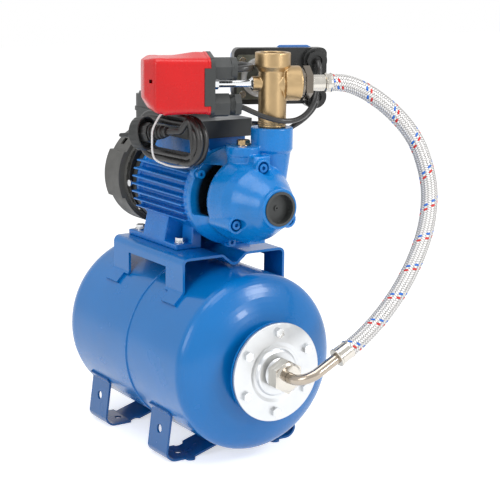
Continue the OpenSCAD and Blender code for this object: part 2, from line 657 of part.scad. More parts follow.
// Motor
fin_count = 7;
module motor_housing() {
    x0 = motor_rear_x;
    x1 = motor_front_x;
    foot_z = bracket_z + touch - pump_z;
    pad_x0 = motor_bolt_front_x - motor_bolt_x - 9;
    pad_x1 = motor_bolt_front_x + 11.5;
    pad_y = motor_bolt_y / 2 + 12;
    color(motor_blue) at_pump() difference() {
        union() {
            xcyl(x0 + 6, x1, motor_body_r);
            xcyl(x0, x0 + 6 + weld, motor_body_r + 3);
            xcyl(x1 - 8, x1, lantern_r - 1);
            intersection() {
                xcyl(x0 + 2, x1 - 5, motor_fin_r);
                for (i = [0:fin_count - 1]) translate([x0, -motor_fin_r, (i - 3) * fin_pitch + 1 - fin_t / 2])
                    cube([motor_len, 2 * motor_fin_r, fin_t]);
            }
            for (y = [-31.5, -22.5, 22.5, 31.5]) intersection() {
                xcyl(x0 + 2, x1 - 5, motor_fin_r - 2);
                translate([x0, y - fin_t / 2, 0]) cube([motor_len, fin_t, motor_fin_r + 4]);
            }
            translate([tbox_x0 + 38, -38, 30]) cube([tbox_x1 - tbox_x0 - 46, 76, motor_fin_r + 4 - 30]);
            for (s = [-1, 1]) {
                extrude_x(x0 + 14, motor_bolt_front_x - 18) polygon([
                    [s * 20, -40], [s * (pad_y - 10), -27], [s * (pad_y - 7), -29], [s * pad_y, foot_z + motor_foot_t - 1],
                    [s * pad_y, foot_z], [s * 20, foot_z]]);
                for (b = [[motor_bolt_front_x - 12, pad_x1], [x0 + 3, x0 + 12]]) extrude_x(b[0], b[1])
                    polygon([[s * 18, -30], [s * 29, -33], [s * 31, foot_z + 2], [s * 18, foot_z]]);
                translate([pad_x0, s > 0 ? 18 : -pad_y, foot_z]) cube([pad_x1 - pad_x0, pad_y - 18, motor_foot_t]);
            }
        }
        xcyl(x0 - 1, x1 + 1, motor_body_r - 4.5);
        for (b = motor_bolts) translate([b[0], b[1], foot_z - 1]) {
            cylinder(h = motor_foot_t + 3, r = motor_bolt_r + bolt_clear);
            translate([0, 0, motor_foot_t + 1]) cylinder(h = 14, r = 9);
        }
        ring_of(lantern_angles, lantern_pcd_r) xcyl(x1 - 12, x1 + 1, 2.5, 24);
        translate([(x0 + x1) / 2, 0, motor_body_r - 8]) cylinder(h = 40, r = 7);
        translate([motor_bolt_front_x - motor_bolt_x - 20, -17.9, foot_z - 1]) cube([motor_bolt_x + 60, 35.8, 11]);
    }
}
shield_t = 9;
shield_hub_len = 13;
module rear_shield() {
    x = motor_rear_x;
    hub_x = x - shield_hub_len;
    color(cap_black) at_pump() difference() {
        union() {
            xcyl(x - shield_t, x - seat, motor_body_r + 3);
            xcyl(hub_x, x, bearing_r + 5);
            xcyl(x - 1, x + 6, motor_body_r - 4.8);
            for (a = [45, 135, 225, 315]) rotate([a, 0, 0]) translate([x - 18, motor_body_r - 5, 0]) xcyl(0, 18 - seat, 5);
        }
        xcyl(x - 9, x + 8, bearing_r + 0.02);
        xcyl(hub_x - 1, x, shaft_r + 1);
        for (a = [45, 135, 225, 315]) rotate([a, 0, 0]) translate([x - 19, motor_body_r - 5, 0]) xcyl(0, 12, 1.9, 24);
        difference() {
            xcyl(x - shield_t - 1, x - shield_t + 4, motor_body_r - 12);
            xcyl(x - shield_t - 2, x, bearing_r + 5);
        }
    }
}
stator_x = motor_rear_x + 28;
rotor_r = 27;
module stator_core() {
    color([0.5, 0.5, 0.5]) at_pump() difference() {
        xcyl(stator_x, stator_x + stator_len, motor_body_r - 4.5 - touch);
        xcyl(stator_x - 1, stator_x + stator_len + 1, rotor_r + air_gap);
    }
}
module stator_winding() {
    color([0.6, 0.3, 0.12]) at_pump() for (x = [stator_x - 14, stator_x + stator_len]) difference() {
        xcyl(x, x + 14, motor_body_r - 9);
        xcyl(x - 1, x + 15, rotor_r + 3);
    }
}
module rotor_core() {
    color([0.6, 0.6, 0.6]) at_pump() difference() {
        union() {
            xcyl(stator_x, stator_x + stator_len, rotor_r);
            for (x = [stator_x - 5, stator_x + stator_len]) xcyl(x, x + 5, rotor_r - 2);
        }
        xcyl(stator_x - 6, stator_x + stator_len + 6, shaft_r + 1.5 + touch);
    }
}
fan_x = motor_rear_x - cover_gap - fan_hub_len - 3;
module motor_shaft() {
    color([0.75, 0.75, 0.75]) at_pump() {
        xcyl(fan_x - 3, chamber_front_x - 2, shaft_r);
        xcyl(stator_x - 5, stator_x + stator_len + 5, shaft_r + 1.5);
    }
}
module bearing_at(x) {
    at_pump() difference() {
        xcyl(x, x + bearing_w, bearing_r);
        xcyl(x - 1, x + bearing_w + 1, shaft_r + shaft_clear);
    }
}
module front_bearing() { color([0.7, 0.7, 0.72]) bearing_at(motor_front_x + 1); }
module rear_bearing() { color([0.7, 0.7, 0.72]) bearing_at(motor_rear_x - 8.5); }
module cooling_fan() {
    color([0.2, 0.2, 0.2]) at_pump() difference() {
        union() {
            xcyl(fan_x, fan_x + fan_hub_len, fan_hub_r);
            xcyl(fan_x + fan_hub_len - 4, fan_x + fan_hub_len - 1, fan_r - 12);
            for (i = [0:fan_blades - 1]) rotate([360 / fan_blades * i, 0, 0])
                translate([fan_x + 1, -1.1, shaft_r + 1]) cube([fan_hub_len - 2, 2.2, fan_r - shaft_r - 1]);
        }
        xcyl(fan_x - 1, fan_x + fan_hub_len + 1, shaft_r + 0.01);
    }
}
cover_front_x = motor_rear_x - cover_gap;
cover_rear_x = cover_front_x - cover_len;
skirt_r = motor_body_r + 3 + skirt_over;
module fan_cover() {
    color([0.25, 0.25, 0.24]) at_pump() translate([0, 0, cover_lift]) difference() {
        union() {
            xcyl(cover_rear_x + 4, cover_front_x, cover_r);
            xcone(cover_rear_x, cover_rear_x + 4, cover_r - 4, cover_r);
            for (s = [-1, 1]) intersection() {
                xcyl(cover_rear_x + 1.5, cover_front_x, cover_r + bulge);
                translate([cover_rear_x - 1, s > 0 ? 30 : -cover_r - 10, -26]) cube([cover_len + 2, cover_r - 20, 57]);
            }
            difference() {
                xcyl(cover_front_x - weld, motor_rear_x - shield_t + 1, skirt_r);
                for (i = [0:23]) rotate([i * 15 + 4, 0, 0]) translate([cover_front_x + 4, 0, 30])
                    cube([6.5, 8, 80]);
            }
        }
        translate([0, 0, -cover_lift]) xcyl(cover_rear_x + cover_wall + 4, cover_front_x + 40, motor_body_r + 3 + seat);
        xcyl(cover_rear_x + cover_wall + 3, cover_front_x - 2.5, cover_r - cover_wall);
        for (s = [-1, 1]) intersection() {
            xcyl(cover_rear_x + 4, cover_front_x - 2.5, cover_r + bulge - cover_wall);
            translate([cover_rear_x, s > 0 ? 30 : -cover_r - 10, -24]) cube([cover_len, cover_r - 20, 53]);
        }
        for (r = [16, 27, 38, 49]) difference() {
            xcyl(cover_rear_x - 1, cover_rear_x + cover_wall + 6, r + 3);
            xcyl(cover_rear_x - 2, cover_rear_x + cover_wall + 7, r - 3);
            for (a = [0, 45, 90, 135]) rotate([a, 0, 0]) translate([cover_rear_x - 3, -2.2, -60]) cube([20, 4.4, 120]);
        }
        translate([cover_front_x - 24, -60, 38]) cube([8, 30, 7]);
        translate([tbox_x0 - seat - 1.5, -60, tbox_z - pump_z - cover_lift - seat]) cube([40, 120, 20]);
    }
}
module fan_cover_screws() {
    low = motor_body_r + 3 + seat;
    head = skirt_r + touch;
    color(zinc) at_pump() for (a = [0, 180]) rotate([a, 0, 0]) translate([motor_rear_x - 5, 0, 0])
        rotate([-90, 0, 0]) {
            translate([0, 0, head]) cylinder(h = 2.4, r = 4);
            translate([0, 0, low]) cylinder(h = head - low + 0.4, r = 1.8);
        }
}

// Terminal box with the capacitor housing at its rear
tbox_hump_x = tbox_x0 + tbox_hump_len;
module terminal_box() {
    w = tbox_w / 2;
    wall = tbox_wall;
    z = tbox_z;
    low = tbox_h * 0.45;
    color(cap_black) difference() {
        union() {
            round_box(tbox_x0 + 30, tbox_x1, -w, w, z, z + tbox_h, 5);
            round_box(tbox_x0, tbox_hump_x, -w, w, z, z + tbox_split, 14);
            round_box(tbox_x0 - 1.5, tbox_hump_x, -w - 1.5, w + 1.5, z + tbox_split - 2, z + tbox_split, 15.5);
        }
        round_box(tbox_hump_x, tbox_x1 - wall, -w + wall, w - wall, z + wall, z + tbox_h - wall, 3);
        round_box(tbox_x0 + wall, tbox_hump_x - wall, -w + wall, w - wall, z + wall, z + tbox_split + 1, 12);
        translate([(motor_rear_x + motor_front_x) / 2, 0, z - 1]) cylinder(h = 9, r = 7);
        translate([tbox_hump_x - 5, -20, z + wall]) cube([10, 40, low - wall]);
        translate([tbox_x1 - 28, 0, z + tbox_h / 2]) ycyl(w - 5, w + 4, 8.3);
    }
}
module terminal_lid() {
    w = tbox_w / 2;
    wall = tbox_wall;
    z = tbox_z;
    color(cap_black) difference() {
        union() {
            round_box(tbox_x0, tbox_hump_x, -w, w, z + tbox_split + 0.1, z + tbox_hump_h - 5, 14);
            round_box(tbox_x0 + 3, tbox_hump_x - 3, -w + 3, w - 3, z + tbox_hump_h - 6, z + tbox_hump_h - 2, 13);
            round_box(tbox_x0 + 7, tbox_hump_x - 7, -w + 7, w - 7, z + tbox_hump_h - 3, z + tbox_hump_h, 11);
            round_box(tbox_x0 - 1.5, tbox_hump_x, -w - 1.5, w + 1.5, z + tbox_split + 0.1, z + tbox_split + 2.5, 15.5);
        }
        round_box(tbox_x0 + wall, tbox_hump_x - wall, -w + wall, w - wall, z + tbox_split - 1, z + tbox_hump_h - 7, 12);
    }
}
module terminal_gland() {
    w = tbox_w / 2;
    color(cap_black) translate([tbox_x1 - 28, 0, tbox_z + tbox_h / 2]) difference() {
        union() {
            ycyl(w - tbox_wall - 4, w + 0.2, 8);
            ycyl(w + 0.1, w + 5, 9.6, 6);
            ycyl(w + 4.9, w + 9.2, 7.6);
        }
        ycyl(w - 10, w + 4, 3.4);
    }
}
module run_capacitor() {
    color([0.85, 0.85, 0.82]) translate([tbox_x0 + tbox_wall + capacitor_r + 3, 0, tbox_z + tbox_wall + capacitor_r + 0.2]) {
        ycyl(-32, 32, capacitor_r);
        for (z = [-5, 5]) translate([0, 0, z]) ycyl(31.9, 37, 1.6, 24);
    }
}

// Pump
module lantern_bracket() {
    x0 = motor_front_x;
    x1 = lantern_front_x;
    t = 5;
    color(motor_blue) at_pump() difference() {
        union() {
            xrev([[0.01, x0], [lantern_r, x0], [lantern_r, x0 + 7], [lantern_r - 3, x0 + 13], [casing_r + 2, x1 - 8],
                [casing_r, x1 - 2], [casing_r, x1], [0.01, x1]]);
            ring_of(lantern_angles, lantern_pcd_r) xcyl(x0, x0 + 9, 7);
        }
        difference() {
            xcyl(x0 + bearing_w + 6, x1 - 7, casing_r - t + 1);
            xcyl(x0, x1, 13);
        }
        for (s = [-1, 1]) {
            difference() {
                translate([x0 + 8, s > 0 ? 14 : -74, -17]) cube([x1 - x0 - 15, 60, 57]);
                xcyl(x0, x1, bearing_r + 5);
            }
            difference() {
                translate([x0 + 8, s > 0 ? 14 : -74, -17]) cube([x1 - x0 - 8.8, 60, 57]);
                xcyl(x0, x1, casing_r - 9);
            }
        }
        xcyl(x0 - 1, x0 + 1 + bearing_w, bearing_r + 0.02);
        xcyl(x0 - 1, x1 + 1, shaft_r + 1);
        xcyl(x1 - 6, x1 + 1, 12.02);
        ring_of(lantern_angles, lantern_pcd_r) {
            xcyl(x0 - 1, x0 + 10, 3 + bolt_clear, 24);
            xcyl(x0 + 9, x1, 6);
        }
        ring_of(casing_angles, casing_pcd_r) xcyl(x1 - 5.5, x1 + 1, 2.5, 24);
    }
}
module lantern_screws() {
    color(motor_blue) at_pump() ring_of(lantern_angles, lantern_pcd_r)
        socket_screw(motor_front_x - 8, motor_front_x + 9, 2.45, 5, 6);
}
module shaft_seal() {
    x1 = lantern_front_x;
    color([0.15, 0.15, 0.15]) at_pump() difference() {
        xcyl(x1 - 6, x1 - 0.2, 12);
        xcyl(x1 - 7, x1 + 1, shaft_r + shaft_clear);
    }
}
module impeller() {
    x0 = lantern_front_x + seat + 0.5;
    color(brass_gold) at_pump() difference() {
        xcyl(x0, x0 + impeller_w, impeller_r);
        xcyl(x0 - 1, x0 + impeller_w + 1, shaft_r + 0.01);
        for (i = [0:impeller_vanes - 1]) rotate([360 / impeller_vanes * i, 0, 0]) for (x = [x0 - 1, x0 + impeller_w - 3])
            translate([x, -1.3, impeller_r - 6]) cube([4, 2.6, 8]);
    }
}
module pump_casing() {
    x0 = lantern_front_x;
    x1 = casing_front_x;
    x2 = nose_x;
    shoulder_r = casing_r - 6;
    color(motor_blue) difference() {
        union() {
            at_pump() xrev([[0.01, x0 + 0.01], [casing_r, x0 + 0.01], [casing_r + 0.6, x0 + 6], [casing_r - 2, x1 - 12],
                [shoulder_r, x1], [nose_r + 7, x2 - 8], [nose_r + 1.5, x2], [nose_r + 0.4, x2 + 2.5],
                [nose_r, x2 + 2.8], [nose_r, nose_front_x - 0.8], [nose_r - 0.8, nose_front_x], [0.01, nose_front_x]]);
            at_pump() ring_of(casing_angles, casing_pcd_r) xcyl(x0 + 0.01, x1 + 4, 10);
            translate([priming_x, priming_y, pump_z]) cylinder(h = priming_h - 1, r = priming_r - 1.2);
            translate([priming_x, priming_y, pump_z + priming_h - 10]) cylinder(h = 10, r = priming_r);
            translate([priming_x, -9, pump_z + 20]) cube([casing_len - 8, 22, priming_h - 29]);
            translate([fitting_x, discharge_y, discharge_top_z - 25]) cylinder(h = 25, r = discharge_r);
            translate([fitting_x, discharge_y, discharge_top_z - 29]) cylinder(h = 4.01, r1 = discharge_r - 2.8, r2 = discharge_r);
            translate([fitting_x, discharge_y, pump_z + 4]) cylinder(h = discharge_h - 30, r1 = 15, r2 = discharge_r - 2);
            at_pump() translate([x1 - 22, -11, -casing_r + 1]) cube([16, 21, 20]);
        }
        translate([x0 - 30, -60, pump_z - 60]) cube([30.01, 120, 60 + casing_r + 6]);
        at_pump() {
            xcyl(x0 - 1, chamber_front_x, impeller_r + seat + 0.6);
            xcyl(chamber_front_x - 1, x1 + 3, 24);
            xcone(x1 + 2.99, x2 - 12, 24, 14);
            xcyl(x2 - 13, nose_front_x + 1, 14);
            xcyl(nose_front_x - 16, nose_front_x + 1, suction_r);
            ring_of(casing_angles, casing_pcd_r) {
                xcyl(x0 - 1, x1 + 3, 3 + bolt_clear, 24);
                xcyl(x1 - 2, x2 + 20, 7);
            }
        }
        translate([fitting_x, discharge_y, discharge_top_z - 17]) cylinder(h = 18, r = stem_r - 0.5);
        translate([fitting_x, discharge_y, pump_z + 8]) cylinder(h = discharge_h - 20, r = 10);
        translate([priming_x + plug_dx, priming_y + plug_dy, pump_z + 18]) cylinder(h = priming_h, r = 5);
    }
}
module casing_screws() {
    color(motor_blue) at_pump() ring_of(casing_angles, casing_pcd_r)
        socket_screw(lantern_front_x - 5, casing_front_x - 2, 2.45, 5, 6);
}
module priming_plug() {
    color(brass_gold) translate([priming_x + plug_dx, priming_y + plug_dy, pump_z + priming_h]) {
        translate([0, 0, -11]) cylinder(h = 12, r = 4.97);
        translate([0, 0, 0.02]) cylinder(h = 1.2, r = 7.6);
        translate([0, 0, 1.1]) intersection() {
            rotate([0, 0, 41]) cylinder(h = 5, r = 14 / 2 / cos(30), $fn = 6);
            cylinder(h = 5, r1 = 10.6, r2 = 7.1);
        }
    }
}
cap_depth = 10;
cap_clear = 0.06;
module inlet_cap() {
    x = nose_front_x;
    color(cap_black) at_pump() difference() {
        union() {
            xcyl(x - cap_depth, x + 0.6, suction_r - cap_clear);
            xcyl(x + 0.3, x + 1.4, suction_r + 0.9);
        }
        xcyl(x - cap_depth + 2.2, x + 3, suction_r - 2);
        xcyl(x - cap_depth - 1, x + 3, 1, 24);
    }
    color(cap_black) at_pump() difference() {
        xcyl(x - cap_depth + 1, x - cap_depth + 3.6, 3);
        xcyl(x - cap_depth - 1, x, 1, 24);
    }
}

// Five-way fitting, drawn about its own axis with the hose port along its +X
module five_way_fitting() {
    z0 = -port_rise;
    color(brass_gold) at_fitting() difference() {
        union() {
            translate([0, 0, z0 - 14]) cylinder(h = 14 + 5, r = stem_r - 0.6);
            for (i = [0:2]) translate([0, 0, z0 + 0.4 + i * 2.3]) {
                cylinder(h = 1.16, r1 = stem_r - 0.7, r2 = stem_r + 0.3);
                translate([0, 0, 1.15]) cylinder(h = 1.16, r1 = stem_r + 0.3, r2 = stem_r - 0.7);
            }
            translate([0, 0, z0 + 4]) cylinder(h = 5, r = stem_r - 0.6);
            translate([0, 0, z0 + 7.6]) cylinder(h = 1.01, r1 = stem_r - 0.8, r2 = stem_r);
            translate([0, 0, z0 + 8.6]) cylinder(h = outlet_rise - outlet_len - 5.5 - z0 - 8.6, r = stem_r);
            translate([0, 0, outlet_rise - outlet_len - 5.51]) cylinder(h = 5.52, r1 = stem_r, r2 = collar_out_r);
            translate([0, 0, outlet_rise - outlet_len]) cylinder(h = outlet_len - 1, r = collar_out_r);
            translate([0, 0, outlet_rise - 1.01]) cylinder(h = 1.01, r1 = collar_out_r, r2 = collar_out_r - 0.7);
            xcyl(0, hose_port_len - 19.2, stem_r - 0.4);
            xcone(hose_port_len - 21.5, hose_port_len - 19.2, stem_r - 0.6, collar_out_r - 0.6);
            xcyl(hose_port_len - 19.21, hose_port_len - 1, collar_out_r - 0.6);
            xcone(hose_port_len - 1.01, hose_port_len, collar_out_r - 0.6, collar_out_r - 1.2);
            xcyl(-gauge_port_len, 0, gauge_port_r);
            ycyl(0, gauge_port_len, gauge_port_r);
        }
        translate([0, 0, z0 - 15]) cylinder(h = -z0 + 15 + 6, r = 12.2);
        translate([0, 0, 5.9]) cylinder(h = outlet_rise - outlet_depth - 5.89, r1 = 12.2, r2 = 13.6);
        translate([0, 0, outlet_rise - outlet_depth]) cylinder(h = outlet_depth + 1, r = thread_r);
        xcyl(0, hose_port_len - 17, 12.2);
        xcyl(hose_port_len - 17.01, hose_port_len + 1, thread_r);
        xcyl(-gauge_port_len - 1, -10, 5.4);
        ycyl(10, gauge_port_len + 1, 5.4);
    }
}

// Red switch: counted along the fitting's -X
module red_switch_stem() {
    color(zinc) at_fitting() difference() {
        union() {
            xcyl(-gauge_port_len + 0.01 - 2.4, -gauge_port_len + 10, 5.35);
            xcyl(-red_base_s - 6, -gauge_port_len - 2, 4);
            xcyl(-red_base_s, -red_base_s + 1, 5.2);
            xcyl(-red_base_s + 0.9, -red_base_s + 9.5, 6.2, 6);
            xcone(-gauge_port_len - 2.4, -gauge_port_len + 0.01 - touch, 5, 7.7);
        }
        xcyl(-red_base_s - 7, 0, 1.8, 24);
    }
}
module red_switch_base() {
    s0 = -red_base_s;
    w = red_w / 2;
    h = red_h / 2;
    color(cap_black) at_fitting() translate([0, 0, red_z]) difference() {
        union() {
            extrude_x(s0 - red_base_t, s0) round_rect(w + 0.6, h + 0.75, 7);
            extrude_x(s0 - red_base_t, s0) polygon([[-w + 4, h + 0.7], [-2, h + 6.2], [2, h + 6.2], [w - 4, h + 0.7],
                [w - 4, 0], [-w + 4, 0]]);
            translate([s0 - red_base_t - 7.2, -w - 0.6, -21.2]) cube([7.3, 8, 41.4]);
            for (g = red_glands) translate([0, red_gland_off, g[0] - red_z]) {
                rotate([17, 0, 0]) xcyl(s0 - 2, s0 + g[1], gland_r, 6);
                xcyl(s0 - 2, s0 + 1.2, gland_r - 0.2);
            }
        }
        translate([0, 0, -red_z]) xcyl(s0 - red_base_t - 1, s0 + 1, 4.1);
        translate([0, 0, -red_z]) xcyl(s0, s0 + 22, 6.6);
        extrude_x(s0 - red_base_t - 1, s0 - 2.5) difference() {
            round_rect(w - 3, h - 3, 5);
            translate([0, -red_z]) circle(7);
            for (g = red_glands) translate([red_gland_off, g[0] - red_z]) circle(gland_r);
        }
        for (g = red_glands) translate([0, red_gland_off, g[0] - red_z]) xcyl(s0 - red_base_t - 1, s0 + 22, lead_d / 2 + 1.2);
    }
}
module round_rect(w, h, r) {
    polygon(concat(arc([w - r, h - r], r, 0, 90, 5), arc([r - w, h - r], r, 90, 180, 5),
        arc([r - w, r - h], r, 180, 270, 5), arc([w - r, r - h], r, 270, 360, 5)));
}
module red_switch_cover() {
    s0 = -red_cover_s - 0.1;
    s1 = s0 - red_len;
    w = red_w / 2;
    h = red_h / 2;
    color([0.75, 0.05, 0.06]) at_fitting() translate([0, 0, red_z]) difference() {
        union() {
            extrude_x(s0 - 3, s0) round_rect(w + 0.6, h + 0.75, 7);
            hull() {
                extrude_x(s0 - 3, s0 - 2) round_rect(w, h, 6.5);
                extrude_x(s1 + 18, s1 + 19) translate([0, 2.9]) round_rect(w - 0.8, h - 1.3, 6.5);
                extrude_x(s1 + 1.4, s1 + 2.4) translate([0, 10.6]) round_rect(w - 11.5, 21.6, 6);
                extrude_x(s1, s1 + 1) translate([0, 10.8]) round_rect(w - 13.4, 19.9, 5);
            }
            hull() {
                extrude_x(s0 - 14, s0) polygon([[-w + 4, h + 0.5], [-2, h + 5.9], [2, h + 5.9], [w - 4, h + 0.5],
                    [w - 4, h - 4], [-w + 4, h - 4]]);
                extrude_x(s0 - 46, s0 - 45) polygon([[-w + 6, h + 0.9], [w - 6, h + 0.9], [w - 6, h - 4], [-w + 6, h - 4]]);
            }
        }
        hull() {
            extrude_x(s0 - 1, s0 + 1) round_rect(w - red_wall, h - red_wall, 5);
            extrude_x(s1 + 19, s1 + 20) translate([0, 2.9]) round_rect(w - 0.8 - red_wall, h - 1.3 - red_wall, 5);
        }
        translate([s0 - 7.4, -w - 3, -21.5]) cube([9, 12, 42]);
    }
}
module red_switch_glands() {
    color(cap_black) at_fitting() for (g = red_glands) translate([g[1] - red_base_s, red_gland_off, g[0]]) {
        if (g[0] > 0) difference() {
            union() {
                rotate([17, 0, 0]) xcyl(0.02, 2, gland_r, 6);
                xcyl(0.02, 6.8, gland_r - 1);
            }
            xcyl(-1, 3.5, lead_d / 2 + 0.4);
        }
        if (g[0] < 0) difference() {
            union() {
                xcyl(0.02, 6.6, gland_r - 3);
                for (i = [0:3]) xcyl(0.9 + i * 1.5, 1.6 + i * 1.5, gland_r - 2.2, 36);
                rotate([17, 0, 0]) xcyl(6.5, 13.5, gland_r - 1, 6);
            }
            xcyl(-1, 10.5, lead_d / 2 + 0.4);
        }
    }
}

// Rear switch: counted along the fitting's +Y
module rear_switch_nipple() {
    color(zinc) at_fitting() difference() {
        union() {
            ycyl(gauge_port_len - 10, gauge_port_len + 0.6, 5.35);
            ycyl(gauge_port_len + 0.5, gauge_port_len + 6, 9 / cos(30), 6);
            ycyl(gauge_port_len + 5.9, plate_off - 4.1, 5);
            ycyl(plate_off - 12, plate_off - 5, 8 / cos(30), 6);
        }
        ycyl(gauge_port_len - 11, plate_off, 2, 24);
    }
}
plate_screws = [for (x = [-1, 1], z = [-1, 1]) [x * (plate_w / 2 - 6.5), z * (plate_h / 2 - 6.5) + plate_z]];
module rear_outline(w, h, r, off, t) { translate([0, off + t, 0]) rotate([90, 0, 0]) linear_extrude(t) round_rect(w, h, r); }
module rear_switch_plate() {
    color(zinc) at_fitting() difference() {
        translate([0, 0, plate_z]) union() {
            rear_outline(plate_w / 2, plate_h / 2, 4, plate_off, plate_t);
            ycyl(plate_off - 3, plate_off + 0.1, diaphragm_r);
            ycyl(plate_off - 4, plate_off, diaphragm_r - 8);
        }
        for (p = plate_screws) translate([p[0], 0, p[1]]) ycyl(plate_off - 0.01, plate_off + 5, 2 + bolt_clear, 24);
        for (p = plate_screws) translate([p[0], 0, p[1]]) ycyl(plate_off - 5, plate_off, 4.4);
        translate([0, 0, plate_z]) difference() {
            ycyl(plate_off - 3.5, plate_off - 1.5, diaphragm_r - 2.5);
            ycyl(plate_off - 4, plate_off, diaphragm_r - 6);
        }
    }
}
module rear_switch_screws() {
    color(zinc) at_fitting() for (p = plate_screws) translate([p[0], 0, p[1]]) difference() {
        union() {
            ycyl(plate_off, rear_base_off + 7, 1.95, 24);
            ycyl(plate_off - 2.4, plate_off - touch, 4.2);
            ycyl(plate_off - 2, plate_off + 1, 1.95, 24);
        }
        translate([-3, plate_off - 3, -0.6]) cube([6, 1.6, 1.2]);
        translate([-0.6, plate_off - 3, -3]) cube([1.2, 1.6, 6]);
    }
}
module rear_switch_base() {
    y0 = rear_base_off + 0.02;
    y1 = rear_cover_off;
    c = rear_base_s0 + rear_base_len / 2;
    color(cap_black) at_fitting() difference() {
        union() {
            translate([c, 0, rear_z]) rear_outline(rear_base_len / 2, rear_base_h / 2, 7, y0, rear_base_t - 0.02);
            for (z = rear_gland_z) translate([rear_gland_s, 0, z]) ycyl(y0 - 6, y1 - 1, gland_r + 0.3);
        }
        for (p = plate_screws) translate([p[0], 0, p[1]]) ycyl(y0 - 1, y0 + 9, 1.97, 24);
        ycyl(y0 - 1, y0 + 6, 12);
        for (z = rear_gland_z) translate([rear_gland_s, 0, z]) ycyl(y0 - 7, y1 - 5, cable_d / 2 + 3.2);
    }
}
module rear_switch_cover() {
    y0 = rear_cover_off + 0.1;
    y1 = y0 + rear_cover_t;
    c = rear_base_s0 + rear_base_len / 2 + 2;
    w = rear_base_len / 2 - 2.6;
    h = rear_base_h / 2 - 1.3;
    color(tank_blue) at_fitting() translate([0, 0, rear_z - 0.4]) difference() {
        union() {
            translate([c, 0, 0]) rear_outline(w + 0.3, h, 7, y0, 4);
            hull() {
                translate([c, 0, 0]) rear_outline(w - 0.5, h - 0.4, 7, y0 + 3.5, 1);
                translate([c, 0, 0]) rear_outline(w - 3.5, h - 3, 8, y1 - 4, 1);
                translate([c, 0, 0]) rear_outline(w - 6.5, h - 6, 7, y1 - 1, 1);
            }
            hull() {
                translate([46, 0, h - 18]) rear_outline(27, 18.5, 6, y0, 1);
                translate([44, 0, h - 18]) rear_outline(20, 22, 4, y0, 1);
                translate([52, 0, h - 20]) rear_outline(20, 20, 6, y1 - 3, 1);
            }
        }
        hull() {
            translate([c, 0, 0]) rear_outline(w - 3, h - 3, 6, y0 - 1, 1);
            translate([c, 0, 0]) rear_outline(w - 6.5, h - 6, 6, y1 - 6, 1);
        }
    }
}
module rear_switch_glands() {
    y0 = rear_base_off - 5.96;
    color(cap_black) at_fitting() for (z = rear_gland_z) translate([rear_gland_s, 0, z]) difference() {
        union() {
            ycyl(y0 - 6, y0 - 0.02, gland_r - 2.2, 8);
            ycyl(y0 - 0.1, y0 + 4, cable_d / 2 + 3);
        }
        ycyl(y0 - 7, y0 - 3, cable_d / 2 + 3.6);
    }
}

// Hose and its steel ends
module hose_top_nipple() {
    s0 = hose_hex_s;
    color(nickel) at_fitting() difference() {
        union() {
            xcyl(hose_port_len - 13, s0 + 0.1, thread_r - 0.05);
            xcyl(s0 - 3.4, s0 - 0.9, hose_hex / 2 - 0.6);
            xcyl(s0, s0 + hose_hex_len, hose_hex / 2 / cos(30), 6);
            xcyl(s0 + hose_hex_len - 0.1, s0 + hose_hex_len + 3, 11);
            xcyl(s0 + hose_hex_len - 0.1, s0 + hose_hex_len + hose_tail_len, hose_d / 2 - 0.4);
        }
        xcyl(0, hose_start_s, 6.2);
    }
}
module ferrule_shape(len) {
    difference() {
        rotate([0, 90, 0]) rotate_extrude() polygon([[6.3, 0.05], [hose_d / 2 + 0.7, 0.05], [hose_d / 2 + 1.5, 0.8],
            [hose_d / 2 + 1.5, 2], [hose_d / 2 + 0.6, 3], [hose_d / 2 + 0.6, len - 2], [hose_d / 2 + 1.3, len - 1],
            [hose_d / 2 + 1.3, len - 0.05], [6.3, len - 0.05]]);
    }
}
elbow_end = [elbow_start_x + elbow_r, elbow_reach * cos(elbow_turn), tank_axis_z + elbow_reach * sin(elbow_turn)];
module at_elbow_end(d = 0) {
    translate([elbow_start_x + elbow_r, 0, tank_axis_z]) rotate([elbow_turn, 0, 0])
        translate([0, elbow_reach + d, 0]) rotate([0, 0, 90]) children();
}
module hose_ferrules() {
    color(nickel) {
        at_fitting() translate([hose_start_s - 8.6, 0, 0]) ferrule_shape(8.6);
        at_elbow_end() ferrule_shape(ferrule_len);
    }
}
module hose() { color([0.75, 0.75, 0.75]) tube(hose_route, hose_d / 2, 12); }
module hose_elbow() {
    x0 = nut_x + nut_len;
    color(nickel) at_tank() rotate([elbow_turn, 0, 0]) difference() {
        union() {
            xcyl(socket_end_x + 2.3, elbow_start_x + 0.01, pipe_r);
            xcyl(socket_end_x + 2.3, socket_end_x + 4.3, socket_r - 1);
            translate([elbow_start_x, elbow_r, 0]) rotate([0, 0, -90]) rotate_extrude(angle = 90)
                translate([elbow_r, 0]) circle(pipe_r, $fn = 32);
            translate([elbow_start_x + elbow_r, 0, 0]) ycyl(elbow_r - 0.01, elbow_reach, pipe_r, 32);
        }
        xcyl(socket_end_x + 2, elbow_start_x - 4, pipe_r - 1.5, 32);
    }
}
module hose_nut() {
    color(nickel) at_tank() difference() {
        union() {
            xcyl(nut_x, nut_x + nut_len - 2, hose_hex / 2 / cos(30), 6);
            xcone(nut_x + nut_len - 2.01, nut_x + nut_len, hose_hex / 2, hose_hex / 2 - 2.5);
        }
        xcyl(nut_x - 1, socket_end_x + 4.7, socket_r + seat);
        xcyl(nut_x, nut_x + nut_len + 1, pipe_r + seat);
    }
}
module hose_gasket() {
    color([0.1, 0.1, 0.1]) at_tank() difference() {
        xcyl(socket_end_x + 0.1, socket_end_x + 2.2, socket_r - 1);
        xcyl(socket_end_x - 1, socket_end_x + 4, pipe_r);
    }
}

